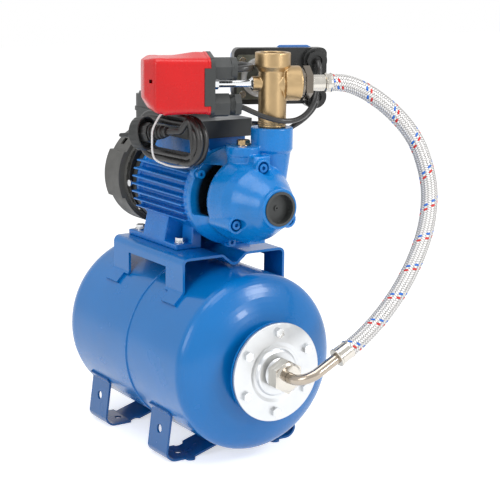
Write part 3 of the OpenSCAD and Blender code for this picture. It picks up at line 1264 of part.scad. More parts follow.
// Cables and the mains lead
module jumper_cable() { color(cap_black) tube(jumper_route, cable_d / 2, 8); }
module motor_cable() { color(cap_black) tube(motor_cable_route, cable_d / 2, 8); }
module mains_lead() { color(cap_black) tube(lead_route, lead_d / 2, 8); }
module plug_lead() { color(cap_black) tube(plug_route, lead_d / 2, 8); }
module coil_outline(r) {
    straight = coil_half_len - coil_half_h;
    polygon(concat(arc([straight, 0], r, -90, 90, 12), arc([-straight, 0], r, 90, 270, 12)));
}
module mains_coil() {
    color(cap_black) translate(coil_centre) rotate([0, 0, coil_turn]) rotate([90, 0, 0]) translate([0, 0, -coil_t / 2])
        linear_extrude(coil_t) difference() {
            coil_outline(coil_half_h);
            coil_outline(coil_half_h - coil_radial);
        }
}
module mains_plug() {
    color(cap_black) translate(plug_place) rotate([0, 0, plug_aim[2]]) rotate([0, plug_aim[1], 0]) difference() {
        union() {
            rotate_extrude() polygon([[0.01, -12], [plug_r - 2, -12], [plug_r - 1, -11], [plug_r, 1], [plug_r - 1.6, 2.4],
                [plug_r - 3.2, 1], [plug_r - 4.5, -3], [11, -4], [9, 8], [7, 18], [5.6, 22], [5.2, 45], [0.01, 45]]);
            for (s = [-1, 1]) translate([0, s * 9.5, -31]) cylinder(h = 20, r = 2.4, $fn = 24);
            for (i = [0:15]) rotate([0, 0, i * 22.5]) translate([plug_r - 1.2, -1.2, -9.5]) cube([1.7, 2.4, 9]);
        }
        translate([0, 0, -40]) cylinder(h = 5, r = 1);
    }
}
tie_x = 61;
tie_line = [[-50.2, 395], [-50.2, 344.6], [-79, 344.6], [-86, 349], [-89, 358], [-89, 392], [-83.5, 403],
    [-77, 406.2], [-52, 406.2], [-50.2, 404.5], [-50.2, 397]];
module coil_tie() { color([0.9, 0.9, 0.9]) extrude_x(tie_x - 1.2, tie_x + 1.2) polygon(strip(tie_line, 2.2)); }

tank_rear_shell();
tank_front_shell();
tank_membrane();
tank_flange();
flange_bolts();
flange_nuts();
air_valve();
air_valve_cap();
front_foot();
rear_foot();
pump_bracket();
foot_bolts();
foot_nuts();
motor_housing();
rear_shield();
stator_core();
stator_winding();
rotor_core();
motor_shaft();
front_bearing();
rear_bearing();
cooling_fan();
fan_cover();
fan_cover_screws();
terminal_box();
terminal_lid();
terminal_gland();
run_capacitor();
lantern_bracket();
lantern_screws();
shaft_seal();
impeller();
pump_casing();
casing_screws();
priming_plug();
inlet_cap();
five_way_fitting();
red_switch_base();
red_switch_cover();
red_switch_stem();
red_switch_glands();
rear_switch_base();
rear_switch_cover();
rear_switch_plate();
rear_switch_screws();
rear_switch_nipple();
rear_switch_glands();
hose_top_nipple();
hose_ferrules();
hose();
hose_elbow();
hose_nut();
hose_gasket();
jumper_cable();
motor_cable();
mains_lead();
mains_coil();
plug_lead();
mains_plug();
coil_tie();
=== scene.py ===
"""Booster pump set: motor pump on a membrane tank, dressed on its CAD frame.

Shapes are worked out in millimetres, and turned to metres where they become a mesh."""
import math

import bmesh
import bpy
import numpy as np
from bpy.props import FloatProperty, FloatVectorProperty, IntProperty, PointerProperty
from mathutils import Matrix, Vector


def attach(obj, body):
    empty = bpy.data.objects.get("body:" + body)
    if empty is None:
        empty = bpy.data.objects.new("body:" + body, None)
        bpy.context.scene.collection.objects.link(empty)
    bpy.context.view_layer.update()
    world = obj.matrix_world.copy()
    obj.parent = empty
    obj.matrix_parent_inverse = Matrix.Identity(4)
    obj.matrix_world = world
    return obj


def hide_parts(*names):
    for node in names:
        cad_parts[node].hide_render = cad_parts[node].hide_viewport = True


bl_info = {
    "name": "Booster pump set",
    "version": (1, 0, 0),
    "blender": (4, 5, 0),
    "location": "View3D > Sidebar > Pump set",
    "description": "Builds the visible pieces of a booster pump set on its CAD frame",
    "category": "Object",
}

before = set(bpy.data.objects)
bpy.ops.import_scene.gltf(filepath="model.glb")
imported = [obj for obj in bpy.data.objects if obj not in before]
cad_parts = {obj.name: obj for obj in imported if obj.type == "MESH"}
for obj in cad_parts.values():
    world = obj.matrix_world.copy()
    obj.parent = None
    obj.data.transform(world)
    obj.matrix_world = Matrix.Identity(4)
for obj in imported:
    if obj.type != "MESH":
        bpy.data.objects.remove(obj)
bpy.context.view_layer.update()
MM = 0.001
UP = np.array([0.0, 0.0, 1.0])

# Places that the pieces share, in millimetres, as in the part's source. The fitting's hose port points
# ALONG, and the rear switch hangs BEHIND it.
FITTING = np.array([129.8, 28.0, 440.4])
FITTING_TURN = math.radians(70)
ALONG = np.array([math.cos(FITTING_TURN), math.sin(FITTING_TURN), 0.0])
BEHIND = np.array([-math.sin(FITTING_TURN), math.cos(FITTING_TURN), 0.0])
RED_SWITCH = np.array([129.8, 28.0, 440.0])
DIAPHRAGM = np.array([129.8, 28.0, 441.9])
SHAFT = np.array([0.0, 0.0, 308.0])
SHAFT_AXIS = (1.0, 0.0, 0.0)
# Cell size of the fitting's rounded corners, finer than that of the larger castings
BRASS_CELL = 0.6

# The mains lead's coil: its centre, its long direction and the direction through it, half its straight
# sides, the radius at the middle of the outer turns, how much less the inner ones have, and how far each
# layer lies from the middle plane
COIL = np.array([56.0, -60.0, 375.5])
COIL_TURN = math.radians(6)
COIL_U = np.array([math.cos(COIL_TURN), math.sin(COIL_TURN), 0.0])
COIL_N = np.array([-math.sin(COIL_TURN), math.cos(COIL_TURN), 0.0])
COIL_HALF_STRAIGHT = 33.0
COIL_RADIUS = 25.4
COIL_INNER_LESS = 7.5
COIL_LAYER = 3.8
# In turns: where the coil begins and ends, with so many points a turn, and where the lead goes in, to the
# front and out again, each within COIL_SHIFT
COIL_BEGIN, COIL_END, COIL_POINTS = 0.075, 4.72, 26
COIL_IN, COIL_FRONT, COIL_OUT, COIL_SHIFT = 0.9, 1.95, 2.95, 0.35
# The plug's place and the direction in which the lead leaves it
PLUG = np.array([43.0, -86.8, 381.0])
PLUG_AXIS = np.array([0.9059, 0.4052, 0.1227])

# Where a finish changes on a piece, in millimetres: the end of the hose's hexagon along its port, the two
# edges of the diaphragm's ring, where the lantern's outside paint gives way to painted shade inside, and the
# start of the painted shade on the fan cover's skirt. A pair is where the change begins and ends.
HEXAGON_END = 43.4
RING_OUTSIDE = (22.9, 23.2)
RING_INSIDE = (16.8, 17.1)
LANTERN_SHADE_EDGE = (44.0, 50.0)
SKIRT_SHADE_FROM = (-57.5, -57.1)

# Colours that stay as they are
# Painted shade inside the lantern
LANTERN_INSIDE_SHADE = (0.05, 0.07, 0.09)
# Painted shade on the fan cover's slotted skirt
SKIRT_SHADE_COLOUR = (0.04, 0.04, 0.04)
BRIGHT_STEEL = (0.93, 0.94, 0.95)
GROUND_STEEL = (0.62, 0.62, 0.63)
CORE_STEEL = (0.4, 0.4, 0.42)
COPPER = (0.72, 0.38, 0.2)
WHITE = (0.9, 0.9, 0.9)
RUBBER = (0.07, 0.07, 0.07)

# The photograph's camera: its place in millimetres, its right and up, its focal length and picture in
# pixels, and its sensor in millimetres; and half the floor's side in metres
CAMERA_EYE = np.array([1477.40, -894.61, 597.22])
CAMERA_RIGHT = np.array([0.55105, 0.83439, 0.01140])
CAMERA_UP = np.array([-0.18085, 0.10608, 0.97777])
FOCAL_PIXELS = 1443.5
PHOTO_WIDTH = 500
SENSOR = 36.0
FLOOR_HALF = 6

# Softboxes: name, place and aim in metres, side in metres, power in watts
LAMPS = (
    ("top softbox", (0.3, -0.35, 1.6), (0.05, 0, 0.25), 1.0, 9.0),
    ("front softbox", (1.17, 0.70, 1.07), (0.05, 0, 0.25), 0.5, 8.5),
    ("small softbox", (1.55, 0.42, 0.58), (0.05, 0, 0.25), 0.17, 2.2),
    ("left softbox", (0.5, -1.6, 0.8), (0.0, 0, 0.25), 0.8, 7.0),
)

# Routes of the cords, the same points as in the part's source
HOSE_ROUTE = [
    [153.46, 93, 440.4], [155.48, 98.59, 440.4], [158.22, 106.11, 439.75], [161.98, 116.45, 437.1],
    [170, 135.6, 427.3], [179.8, 157.2, 410.2], [188, 174.5, 391.2], [196, 187, 369.5], [203.2, 193.7, 345],
    [210, 195.5, 320.5], [216, 191.5, 296], [222, 182, 270.5], [227.2, 168, 247], [231.9, 149.5, 222.5],
    [235.8, 127, 198.5], [238.4, 102.5, 177.5], [239.7, 82, 163], [240, 68.6, 154.94], [240, 61.53, 151.35]]
JUMPER_ROUTE = [
    [127.27, -14.05, 415.2], [128.01, -12, 415.2], [129.44, -9.54, 414.3], [131.31, -7.03, 413],
    [134.09, -3.78, 411.1], [139.71, 2.9, 407.7], [145.37, 10.84, 404.2], [149.25, 18.58, 401.8],
    [151.68, 26.42, 400.3], [152.37, 35.32, 399.6], [150.91, 45.64, 399.9], [146.69, 56.86, 401.8],
    [141.24, 68.21, 405.5], [135.42, 78.53, 411], [129.92, 86.81, 417.9], [124.86, 92.8, 425.6],
    [121.6, 96.6, 433.6], [119.5, 99.7, 441.6], [118.1, 101.7, 448.9], [116.66, 102.49, 454.9],
    [112.53, 103.99, 459.3], [107.29, 105.9, 460.9], [104.07, 107.07, 460.9]]
MOTOR_CABLE_ROUTE = [
    [104.07, 107.07, 418.9], [107.29, 105.9, 418.9], [110.75, 104.32, 417.2], [113.28, 101.91, 414],
    [114.72, 98.83, 409.8], [114.97, 94.27, 404.4], [114.35, 87.9, 398.3], [112.51, 80.48, 392.4],
    [108.64, 73.37, 387.2], [101.5, 67.6, 381.4], [91.5, 66.3, 379], [80.5, 67.6, 378.2],
    [69.5, 70.4, 378.4], [59, 72.6, 379.4], [50.5, 71.8, 381], [44.2, 68, 382.5], [40.9, 62.8, 383.1],
    [40, 57.5, 383.25], [40, 53.24, 383.25]]
LEAD_ROUTE = [
    [125.46, -19.01, 458], [127.05, -14.63, 458], [127.92, -9.63, 458.1], [127.07, -3.47, 458.2],
    [123.9, 1.84, 458.4], [119.01, 5.96, 458.6], [112.72, 8.25, 458.8], [105.72, 8.03, 459.1],
    [99, 5.37, 459.4], [93.03, 0.94, 459.7], [87.41, -4.25, 459.6], [81.37, -10.03, 458.9],
    [75.83, -16.21, 456.8], [71.64, -22.45, 452.8], [69.02, -27.88, 447], [67.3, -31.73, 439.5],
    [66.55, -33.79, 431], [66.38, -34.26, 422]]

# The plug's turned outlines: distance along its axis and radius, in millimetres
GRIP = [(-12, 0.0), (-12, 14), (-11.9, 17.2), (-11, 18.5), (-9.6, 19), (-2, 19.3), (0.5, 19.5), (1.9, 19.2),
        (2.4, 18.2), (1.6, 16.8), (-1, 16.0), (-3.4, 14.8), (-4, 12.6), (-4, 0)]
HUB = [(-4.5, 0), (-4.5, 12.2), (6.6, 11.9), (7.6, 11.0), (7.8, 0)]
PIN = [(-31, 0), (-31, 1.2), (-30, 2.1), (-29, 2.4), (-11.5, 2.4), (-11.5, 0)]
PIN_APART = 9.5
# The plug's strain relief: where it begins and ends, its radius there and how much it loses on the way, and
# its rings: the first one's start, their pitch, their height and where they stop
RELIEF_FROM, RELIEF_TO, RELIEF_RADIUS, RELIEF_TAPER = 7.0, 30, 8.6, 2.7
RINGS_FROM, RINGS_PITCH, RINGS_HEIGHT, RINGS_TO = 8.2, 4.6, 0.95, 27

# The tie's outline round the coil and the plug's relief, across and up, and its slant along the coil:
# at TIE_FRONT across it lies at TIE_PLACE, and goes TIE_SLANT along the coil for each millimetre across
TIE_OUTLINE = np.array([
    (-50.4, 399), (-50.2, 372), (-50.6, 347), (-54, 344.6), (-67, 344.8), (-78, 348.2), (-86, 353.5),
    (-88.4, 361), (-88.9, 375), (-88.4, 386), (-85.5, 394.5), (-78, 406.2), (-66, 406.6), (-54, 406.2)])
TIE_PLACE, TIE_FRONT, TIE_SLANT = 61, -88, 0.56
TIE_RADIUS = 1.2

# The red cover's half width and half height, and the angle in degrees past which its edges are sharp. Its
# lip's rows are distance from the fitting, lift of the middle, what the half width and the half height gain,
# corner radius and ridge.
COVER_W, COVER_H = 30.0, 30.5
COVER_SMOOTH = 32
COVER_LIP = (
    (77.15, 0.0, 0.2, 0.35, 6.6, 5.4), (77.4, 0.0, 0.6, 0.75, 7, 5.4), (79.7, 0.0, 0.6, 0.75, 7, 5.4),
    (80.05, 0.0, 0.3, 0.4, 7, 5.4), (80.2, 0.0, 0.0, 0.0, 6.8, 5.5), (83, 0.05, 0.0, 0.0, 6.6, 5.6))


# Shapes

def unit(v):
    """v divided by its length, along the last axis."""
    return v / np.linalg.norm(v, axis=-1, keepdims=True)


def path_length(path):
    """The sum of the distances from each point of a path to the next."""
    return np.linalg.norm(np.diff(path, axis=0), axis=1).sum()


def smooth_route(points, step):
    """A Catmull-Rom curve through the points, resampled at equal steps of its length. Its knots are apart by
    the square root of the distance between the points, and each stretch blends straight lines through
    neighbouring points three times over."""
    p = np.asarray(points, float)
    p = np.vstack([2 * p[0] - p[1], p, 2 * p[-1] - p[-2]])
    d = np.sqrt(np.maximum(np.linalg.norm(np.diff(p, axis=0), axis=1), 1e-9))
    k = np.linspace(0, 1, 24, endpoint=False)[:, None]
    parts = []
    for i in range(1, len(p) - 2):
        t0, t1, t2, t3 = 0, d[i - 1], d[i - 1] + d[i], d[i - 1] + d[i] + d[i + 1]
        t = t1 + k * (t2 - t1)
        a1 = (t1 - t) / (t1 - t0) * p[i - 1] + (t - t0) / (t1 - t0) * p[i]
        a2 = (t2 - t) / (t2 - t1) * p[i] + (t - t1) / (t2 - t1) * p[i + 1]
        a3 = (t3 - t) / (t3 - t2) * p[i + 1] + (t - t2) / (t3 - t2) * p[i + 2]
        b1 = (t2 - t) / (t2 - t0) * a1 + (t - t0) / (t2 - t0) * a2
        b2 = (t3 - t) / (t3 - t1) * a2 + (t - t1) / (t3 - t1) * a3
        parts.append((t2 - t) / (t2 - t1) * b1 + (t - t1) / (t2 - t1) * b2)
    dense = np.vstack(parts + [p[-2:-1]])
    along = np.concatenate([[0], np.cumsum(np.linalg.norm(np.diff(dense, axis=0), axis=1))])
    count = max(int(round(along[-1] / step)), 2)
    at = np.linspace(0, along[-1], count + 1)
    return np.stack([np.interp(at, along, dense[:, i]) for i in range(3)], axis=1)


def carry_frames(path):
    """Normal and side at each point of a path. The normal is the one before it less its part along the
    path, so it turns as little as possible, and the side is square to both."""
    t = unit(np.gradient(path, axis=0))
    n = np.zeros_like(t)
    start = UP if abs(t[0, 2]) < 0.9 else np.array([1.0, 0, 0])
    n[0] = unit(start - start.dot(t[0]) * t[0])
    for i in range(1, len(t)):
        v = n[i - 1] - n[i - 1].dot(t[i]) * t[i]
        n[i] = v / np.linalg.norm(v)
    return n, np.cross(t, n)


def circles(path, n, b, radius, sides):
    """A grid of path places by angles: each point of the path, plus the radius times the angle's cosine
    along n and its sine along b."""
    a = np.linspace(0, 2 * math.pi, sides, endpoint=False)
    around = np.cos(a)[None, :, None] * n[:, None] + np.sin(a)[None, :, None] * b[:, None]
    return path[:, None] + radius * around


def tube_grid(path, radius, sides):
    """A round tube: circles on the carried normal and side of an open path."""
    return circles(path, *carry_frames(path), radius, sides)


def lathe_grid(profile, origin, axis, sides, ripple=None):
    """A profile turned about an axis. Its rows are distance along the axis and radius, and ripple is what
    each radius is multiplied by, from the distance and the angle."""
    axis = unit(np.asarray(axis, float))
    u = unit(np.cross(axis, UP) if abs(axis[2]) < 0.9 else np.cross(axis, [0, 1.0, 0]))
    v = np.cross(axis, u)
    a = np.linspace(0, 2 * math.pi, sides, endpoint=False)
    x, r = np.asarray(profile, float).T
    r = np.broadcast_to(r[:, None], (len(r), sides))
    if ripple is not None:
        r = r * ripple(x[:, None], a[None, :])
    around = np.cos(a)[None, :, None] * u + np.sin(a)[None, :, None] * v
    return origin + x[:, None, None] * axis + r[..., None] * around


def rounded_ring(half_w, half_h, radius, arc, straight):
    """A rounded rectangle as points, anticlockwise: four quarter circles, cos and sin of equal turns, and
    between them straight sides in equal steps."""
    a = np.linspace(0, math.pi / 2, arc)
    corners = []
    for k, (sx, sy) in enumerate([(1, 1), (-1, 1), (-1, -1), (1, -1)]):
        t = a + k * math.pi / 2
        corners.append(np.stack([sx * (half_w - radius) + radius * np.cos(t),
                                 sy * (half_h - radius) + radius * np.sin(t)], 1))
    steps = np.linspace(0, 1, straight + 2)[1:-1, None]
    out = []
    for k in range(4):
        out += [corners[k], corners[k][-1] + steps * (corners[(k + 1) % 4][0] - corners[k][-1])]
    return np.vstack(out)


def grid_faces(rows, cols, start, closed_rows=False):
    """Four-cornered faces of a grid whose columns close on themselves."""
    i, j = np.meshgrid(np.arange(rows if closed_rows else rows - 1), np.arange(cols), indexing="ij")
    i2, j2 = (i + 1) % rows, (j + 1) % cols
    return np.stack([i * cols + j, i2 * cols + j, i2 * cols + j2, i * cols + j2], -1).reshape(-1, 4) + start


# Meshes

def new_object(name, data):
    """An object of that name in the scene."""
    obj = bpy.data.objects.new(name, data)
    bpy.context.scene.collection.objects.link(obj)
    return obj


def piece_from(name, grids, material, caps=True, uv=False, closed_rows=False, smooth=35.0):
    """One mesh of several grids, in millimetres, closed at both ends, with its faces outwards."""
    verts, faces, ends, start = [], [], [], 0
    for grid in grids:
        rows, cols = grid.shape[:2]
        verts.append(grid.reshape(-1, 3) * MM)
        faces += grid_faces(rows, cols, start, closed_rows).tolist()
        if caps and not closed_rows:
            last = start + (rows - 1) * cols
            ends += [list(range(start + cols - 1, start - 1, -1)), list(range(last, last + cols))]
        start += rows * cols
    mesh = bpy.data.meshes.new(name)
    mesh.from_pydata(np.vstack(verts), [], faces + ends)
    if uv:
        map_run(mesh, grids[0])
    obj = new_object(name, mesh)
    tidy(mesh)
    finish_piece(obj, material, smooth)
    return obj


def map_run(mesh, grid):
    """The UV map run: the share of the turn round a grid, and the metres along its rows' middles."""
    rows, cols = grid.shape[:2]
    steps = np.linalg.norm(np.diff(grid.mean(1), axis=0), axis=1)
    length = np.concatenate([[0], np.cumsum(steps)]) * MM
    i, j = np.meshgrid(np.arange(rows - 1), np.arange(cols), indexing="ij")
    corner_u = np.stack([j, j, j + 1, j + 1], -1) / cols
    corner_v = np.stack([length[i], length[i + 1], length[i + 1], length[i]], -1)
    flat = np.stack([corner_u, corner_v], -1).reshape(-1, 2)
    values = np.zeros((len(mesh.loops), 2), np.float32)
    values[:len(flat)] = flat
    mesh.uv_layers.new(name="run").data.foreach_set("uv", values.ravel())


def tidy(mesh):
    """Merges doubles, drops empty faces and turns every face outwards."""
    b = bmesh.new()
    b.from_mesh(mesh)
    bmesh.ops.remove_doubles(b, verts=b.verts, dist=1e-6)
    bmesh.ops.dissolve_degenerate(b, edges=b.edges, dist=1e-7)
    bmesh.ops.recalc_face_normals(b, faces=b.faces)
    b.to_mesh(mesh)
    b.free()


def finish_piece(obj, material, smooth):
    """Gives a piece its material, its shading with edges sharper than smooth degrees, and its body."""
    obj.data.materials.clear()
    obj.data.materials.append(material)
    obj.data.polygons.foreach_set("use_smooth", np.ones(len(obj.data.polygons), bool))
    if smooth < 180:
        obj.data.set_sharp_from_angle(angle=math.radians(smooth))
    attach(obj, "set")


def apply_modifiers(obj):
    """Puts what the modifiers make of a piece into its mesh."""
    depsgraph = bpy.context.evaluated_depsgraph_get()
    shaped = bpy.data.meshes.new_from_object(obj.evaluated_get(depsgraph))
    obj.modifiers.clear()
    obj.data = shaped


def cast_copy(node, name, material, cell, rounds):
    """A copy of a CAD node with the rounded corners of a casting: remeshed in cells of so many millimetres,
    then each point moved half way to the middle of its neighbours, so many rounds."""
    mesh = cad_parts[node].data.copy()
    obj = new_object(name, mesh)
    b = bmesh.new()
    b.from_mesh(mesh)
    bmesh.ops.remove_doubles(b, verts=b.verts, dist=2e-6)
    b.to_mesh(mesh)
    b.free()
    cells = obj.modifiers.new("cells", "REMESH")
    cells.mode = "VOXEL"
    cells.voxel_size = cell * MM
    relax = obj.modifiers.new("relax", "SMOOTH")
    relax.factor = 0.5
    relax.iterations = rounds
    apply_modifiers(obj)
    obj.data.name = name
    finish_piece(obj, material, 180)
    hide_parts(node)
    return obj


def carve(obj, origin, low, high):
    """Cuts a box out of the red cover. Its lowest and highest corner are in millimetres along the fitting,
    behind it and up."""
    corners = np.array([[x, y, z] for x in (low[0], high[0]) for y in (low[1], high[1])
                        for z in (low[2], high[2])], float)
    places = (origin + corners[:, :1] * ALONG + corners[:, 1:2] * BEHIND + corners[:, 2:] * UP) * MM
    mesh = bpy.data.meshes.new("cutter")
    mesh.from_pydata(places, [], [(0, 1, 3, 2), (4, 6, 7, 5), (0, 4, 5, 1), (2, 3, 7, 6), (0, 2, 6, 4),
                                  (1, 5, 7, 3)])
    tidy(mesh)
    cutter = new_object("cutter", mesh)
    cut = obj.modifiers.new("cut", "BOOLEAN")
    cut.operation = "DIFFERENCE"
    cut.solver = "EXACT"
    cut.object = cutter
    apply_modifiers(obj)
    bpy.data.objects.remove(cutter)
    obj.data.set_sharp_from_angle(angle=math.radians(COVER_SMOOTH))


# Finishes

def linear(colour):
    """A display colour, 0 to 1, as scene-linear values: a line near black and a power of 2.4 above it."""
    c = np.asarray(colour[:3], float)
    return tuple(np.where(c <= 0.04045, c / 12.92, ((c + 0.055) / 1.055) ** 2.4)) + (1.0,)


def shade(colour, factor):
    """The colour made lighter or darker."""
    return [min(max(c * factor, 0.0), 1.0) for c in colour]


def is_output(value):
    """Whether a value comes out of a node, and isn't a plain number or colour."""
    return hasattr(value, "is_linked")


class Finish:
    """A material whose nodes are added one by one."""

    def __init__(self, name, colour, rough, metal=0.0):
        self.material = bpy.data.materials.new(name)
        self.material.use_nodes = True
        self.tree = self.material.node_tree
        self.shader = self.tree.nodes["Principled BSDF"]
        self.shader.inputs["Base Color"].default_value = linear(colour)
        self.shader.inputs["Roughness"].default_value = rough
        self.shader.inputs["Metallic"].default_value = metal
        self.place = self.add("ShaderNodeTexCoord").outputs["Object"]
        self.normal = None

    def put(self, value, target):
        """Links a node's output to an input, or sets a plain value on it."""
        if is_output(value):
            self.tree.links.new(value, target)
        else:
            target.default_value = value

    def add(self, kind, **values):
        """A node, with each value put on its input of that name or set on the node itself."""
        node = self.tree.nodes.new(kind)
        for key, value in values.items():
            if key in node.inputs:
                self.put(value, node.inputs[key])
            else:
                setattr(node, key, value)
        return node

    def step(self, kind, operation, *values):
        """A node for one step of arithmetic, with the values on its inputs in order."""
        node = self.add(kind, operation=operation)
        for value, target in zip(values, node.inputs):
            self.put(value, target)
        return node

    def math(self, operation, *values):
        """One step of arithmetic on outputs or numbers."""
        return self.step("ShaderNodeMath", operation, *values).outputs[0]

    def pick(self, choice, low, high):
        """The first value where the choice is 0, the second where it is 1. A Mix node has several sockets
        of each name, so they are told by their places."""
        node = self.add("ShaderNodeMix", data_type="FLOAT")
        for value, place in ((choice, 0), (low, 2), (high, 3)):
            self.put(value, node.inputs[place])
        return node.outputs[0]

    def blend(self, share, low, high):
        """A colour that goes from low to high with a share. Each is an output or a display colour."""
        node = self.add("ShaderNodeMix", data_type="RGBA")
        self.put(share, node.inputs[0])
        for colour, place in ((low, 6), (high, 7)):
            self.put(colour if is_output(colour) else linear(colour), node.inputs[place])
        return node.outputs[2]

    def noise(self, scale, detail=3.0, rough=0.5, stretch=None):
        """Clouds of the given scale on the object's own coordinates."""
        vector = self.place
        if stretch:
            vector = self.add("ShaderNodeMapping", Vector=self.place, Scale=stretch).outputs[0]
        clouds = self.add("ShaderNodeTexNoise", Vector=vector, Scale=scale, Detail=detail, Roughness=rough)
        return clouds.outputs["Fac"]

    def ramp(self, value, low, high, low_at=0.35, high_at=0.65):
        """A value from low to high as another goes through a band."""
        node = self.add("ShaderNodeMapRange", Value=value)
        for key, number in (("From Min", low_at), ("From Max", high_at), ("To Min", low), ("To Max", high)):
            node.inputs[key].default_value = number
        return node.outputs[0]

    def tint(self, value, low, high):
        """The base colour goes from low to high with a value."""
        self.put(self.blend(value, low, high), self.shader.inputs["Base Color"])

    def patch(self, mask, colour):
        """Another base colour where the mask is 1, over the tint."""
        target = self.shader.inputs["Base Color"]
        self.put(self.blend(mask, target.links[0].from_socket, colour), target)

    def roughness(self, value):
        """The roughness follows a value."""
        self.put(value, self.shader.inputs["Roughness"])

    def soften_edges(self, radius):
        """Edges catch the light as if they had this radius, in millimetres."""
        self.normal = self.add("ShaderNodeBevel", samples=4, Radius=radius * MM).outputs[0]
        self.put(self.normal, self.shader.inputs["Normal"])

    def bump(self, height, depth):
        """Relief of the given depth in millimetres, over the relief before it."""
        node = self.add("ShaderNodeBump", Height=height, Strength=1.0, Distance=depth * MM)
        if self.normal is not None:
            self.put(self.normal, node.inputs["Normal"])
        self.normal = node.outputs[0]
        self.put(self.normal, self.shader.inputs["Normal"])

    def gloss(self, level, coat, coat_rough):
        """How strongly the surface and a clear coat over it reflect."""
        self.shader.inputs["Specular IOR Level"].default_value = level
        self.shader.inputs["Coat Weight"].default_value = coat
        self.shader.inputs["Coat Roughness"].default_value = coat_rough

    def reach(self, centre, direction):
        """Each point's distance from an axis and its place along it, in metres. The distance is the root of
        the squared distance from the centre less the squared place."""
        kind = "ShaderNodeVectorMath"
        off = self.step(kind, "SUBTRACT", self.place, [c * MM for c in centre]).outputs[0]
        along = self.step(kind, "DOT_PRODUCT", off, list(direction)).outputs["Value"]
        size = self.step(kind, "LENGTH", off).outputs["Value"]
        square = self.math("SUBTRACT", self.math("POWER", size, 2.0),
                           self.math("POWER", self.math("ABSOLUTE", along), 2.0))
        return self.math("SQRT", self.math("MAXIMUM", square, 0.0)), along


def gloss_paint(name, colour, edge=0.5):
    """Sprayed gloss paint: orange peel, faint clouds in the colour and the gloss."""
    f = Finish(name, colour, 0.22)
    f.soften_edges(edge)
    f.tint(f.noise(9, 4), shade(colour, 0.93), shade(colour, 1.06))
    f.roughness(f.ramp(f.noise(35, 3), 0.187, 0.275))
    f.bump(f.noise(320, 2), 0.03)
    f.gloss(0.36, 0.16, 0.05)
    return f.material


def cast_skin(name, colour, rough, low, high, waves, grain):
    """Gloss paint over a sand casting: its roughness goes from low to high, and waves and grain of so many
    millimetres show through."""
    f = Finish(name, colour, rough)
    f.tint(f.noise(28, 5), shade(colour, 0.88), shade(colour, 1.08))
    f.roughness(f.ramp(f.noise(90, 4), low, high))
    f.bump(f.noise(160, 2), waves)
    f.bump(f.noise(900, 4, 0.7), grain)
    f.gloss(0.4, 0.12, 0.1)
    return f


def cast_paint(name, colour, grain, rough=0.3):
    """Paint of a casting, the same all over."""
    return cast_skin(name, colour, rough, rough * 0.75, rough * 1.35, grain * 1.6, grain * 0.5).material


def hollow_shaded_paint(name, colour):
    """Casting paint on the outside that gives way to painted shade inside, a dark colour by the distance
    from the shaft.
    """
    f = cast_skin(name, colour, 0.28, 0.2, 0.4, 0.11, 0.035)
    far = f.reach(SHAFT, SHAFT_AXIS)[0]
    # Painted shade: dark inside the lantern, near the shaft
    f.patch(f.ramp(far, 1.0, 0.0, LANTERN_SHADE_EDGE[0] * MM, LANTERN_SHADE_EDGE[1] * MM), LANTERN_INSIDE_SHADE)
    return f.material


def plated(name, colour, rough, edge=0.3, streak=None, cloud=0.92, vary=0.3):
    """Plated steel: soft clouds, fine scratches along one direction."""
    f = Finish(name, colour, rough, 1.0)
    f.soften_edges(edge)
    f.tint(f.noise(60, 4), shade(colour, cloud), shade(colour, 1.04))
    f.roughness(f.ramp(f.noise(140, 4, 0.6, streak), rough * (1 - vary), rough * (1 + vary)))
    f.bump(f.noise(1400, 3, 0.6, streak), 0.02)
    return f.material


def hexagon_nickel(name, bright, dull):
    """Nickel plate with a duller hexagon, as far as the hexagon's end along the fitting's port."""
    f = Finish(name, bright, 0.2, 1.0)
    f.soften_edges(0.25)
    f.tint(f.noise(60, 4), shade(bright, 0.96), shade(bright, 1.03))
    along = f.reach(FITTING, ALONG)[1]
    f.patch(f.math("LESS_THAN", along, HEXAGON_END * MM), shade(dull, 0.72))
    f.roughness(f.ramp(f.noise(140, 4), 0.15, 0.27))
    f.bump(f.noise(1400, 3), 0.02)
    return f.material


def diaphragm_plate(name, plate, ring):
    """Passivated sheet with a brighter pressed ring round the diaphragm."""
    f = Finish(name, plate, 0.38, 0.85)
    f.soften_edges(0.4)
    f.tint(f.noise(45, 4), shade(plate, 0.88), shade(plate, 1.08))
    far = f.reach(DIAPHRAGM, BEHIND)[0]
    for (begin, end), colour in ((RING_OUTSIDE, shade(ring, 0.95)), (RING_INSIDE, shade(plate, 0.9))):
        f.patch(f.ramp(far, 1.0, 0.0, begin * MM, end * MM), colour)
    f.roughness(f.ramp(f.noise(120, 3), 0.3, 0.45))
    f.bump(f.noise(900, 3), 0.03)
    return f.material


def cast_brass(name, colour):
    """Brass with the sandblasted skin of a casting."""
    f = Finish(name, colour, 0.34, 1.0)
    f.tint(f.noise(70, 5), shade(colour, 0.94), shade(colour, 1.05))
    f.roughness(f.ramp(f.noise(220, 4), 0.32, 0.4))
    f.bump(f.noise(1500, 3, 0.7), 0.05)
    return f.material


def turned_brass(name, colour):
    """Brass with fine turning marks."""
    f = Finish(name, colour, 0.22, 1.0)
    f.tint(f.noise(70, 5), shade(colour, 0.94), shade(colour, 1.05))
    f.roughness(f.ramp(f.noise(220, 4), 0.16, 0.3))
    f.bump(f.noise(2600, 3, 0.7), 0.015)
    return f.material


def moulded_skin(name, colour, rough, low, high, grain, edge, scale=1500):
    """Moulded plastic: spark-eroded grain, and a roughness that goes from low to high."""
    f = Finish(name, colour, rough)
    if edge:
        f.soften_edges(edge)
    f.tint(f.noise(22, 3), shade(colour, 0.92), shade(colour, 1.07))
    f.roughness(f.ramp(f.noise(70, 3), low, high))
    f.bump(f.noise(scale, 3, 0.6), grain)
    return f


def moulded(name, colour, rough, grain=0.04, edge=0.4, scale=1500):
    """Moulded plastic of one colour."""
    return moulded_skin(name, colour, rough, rough * 0.85, rough * 1.15, grain, edge, scale).material


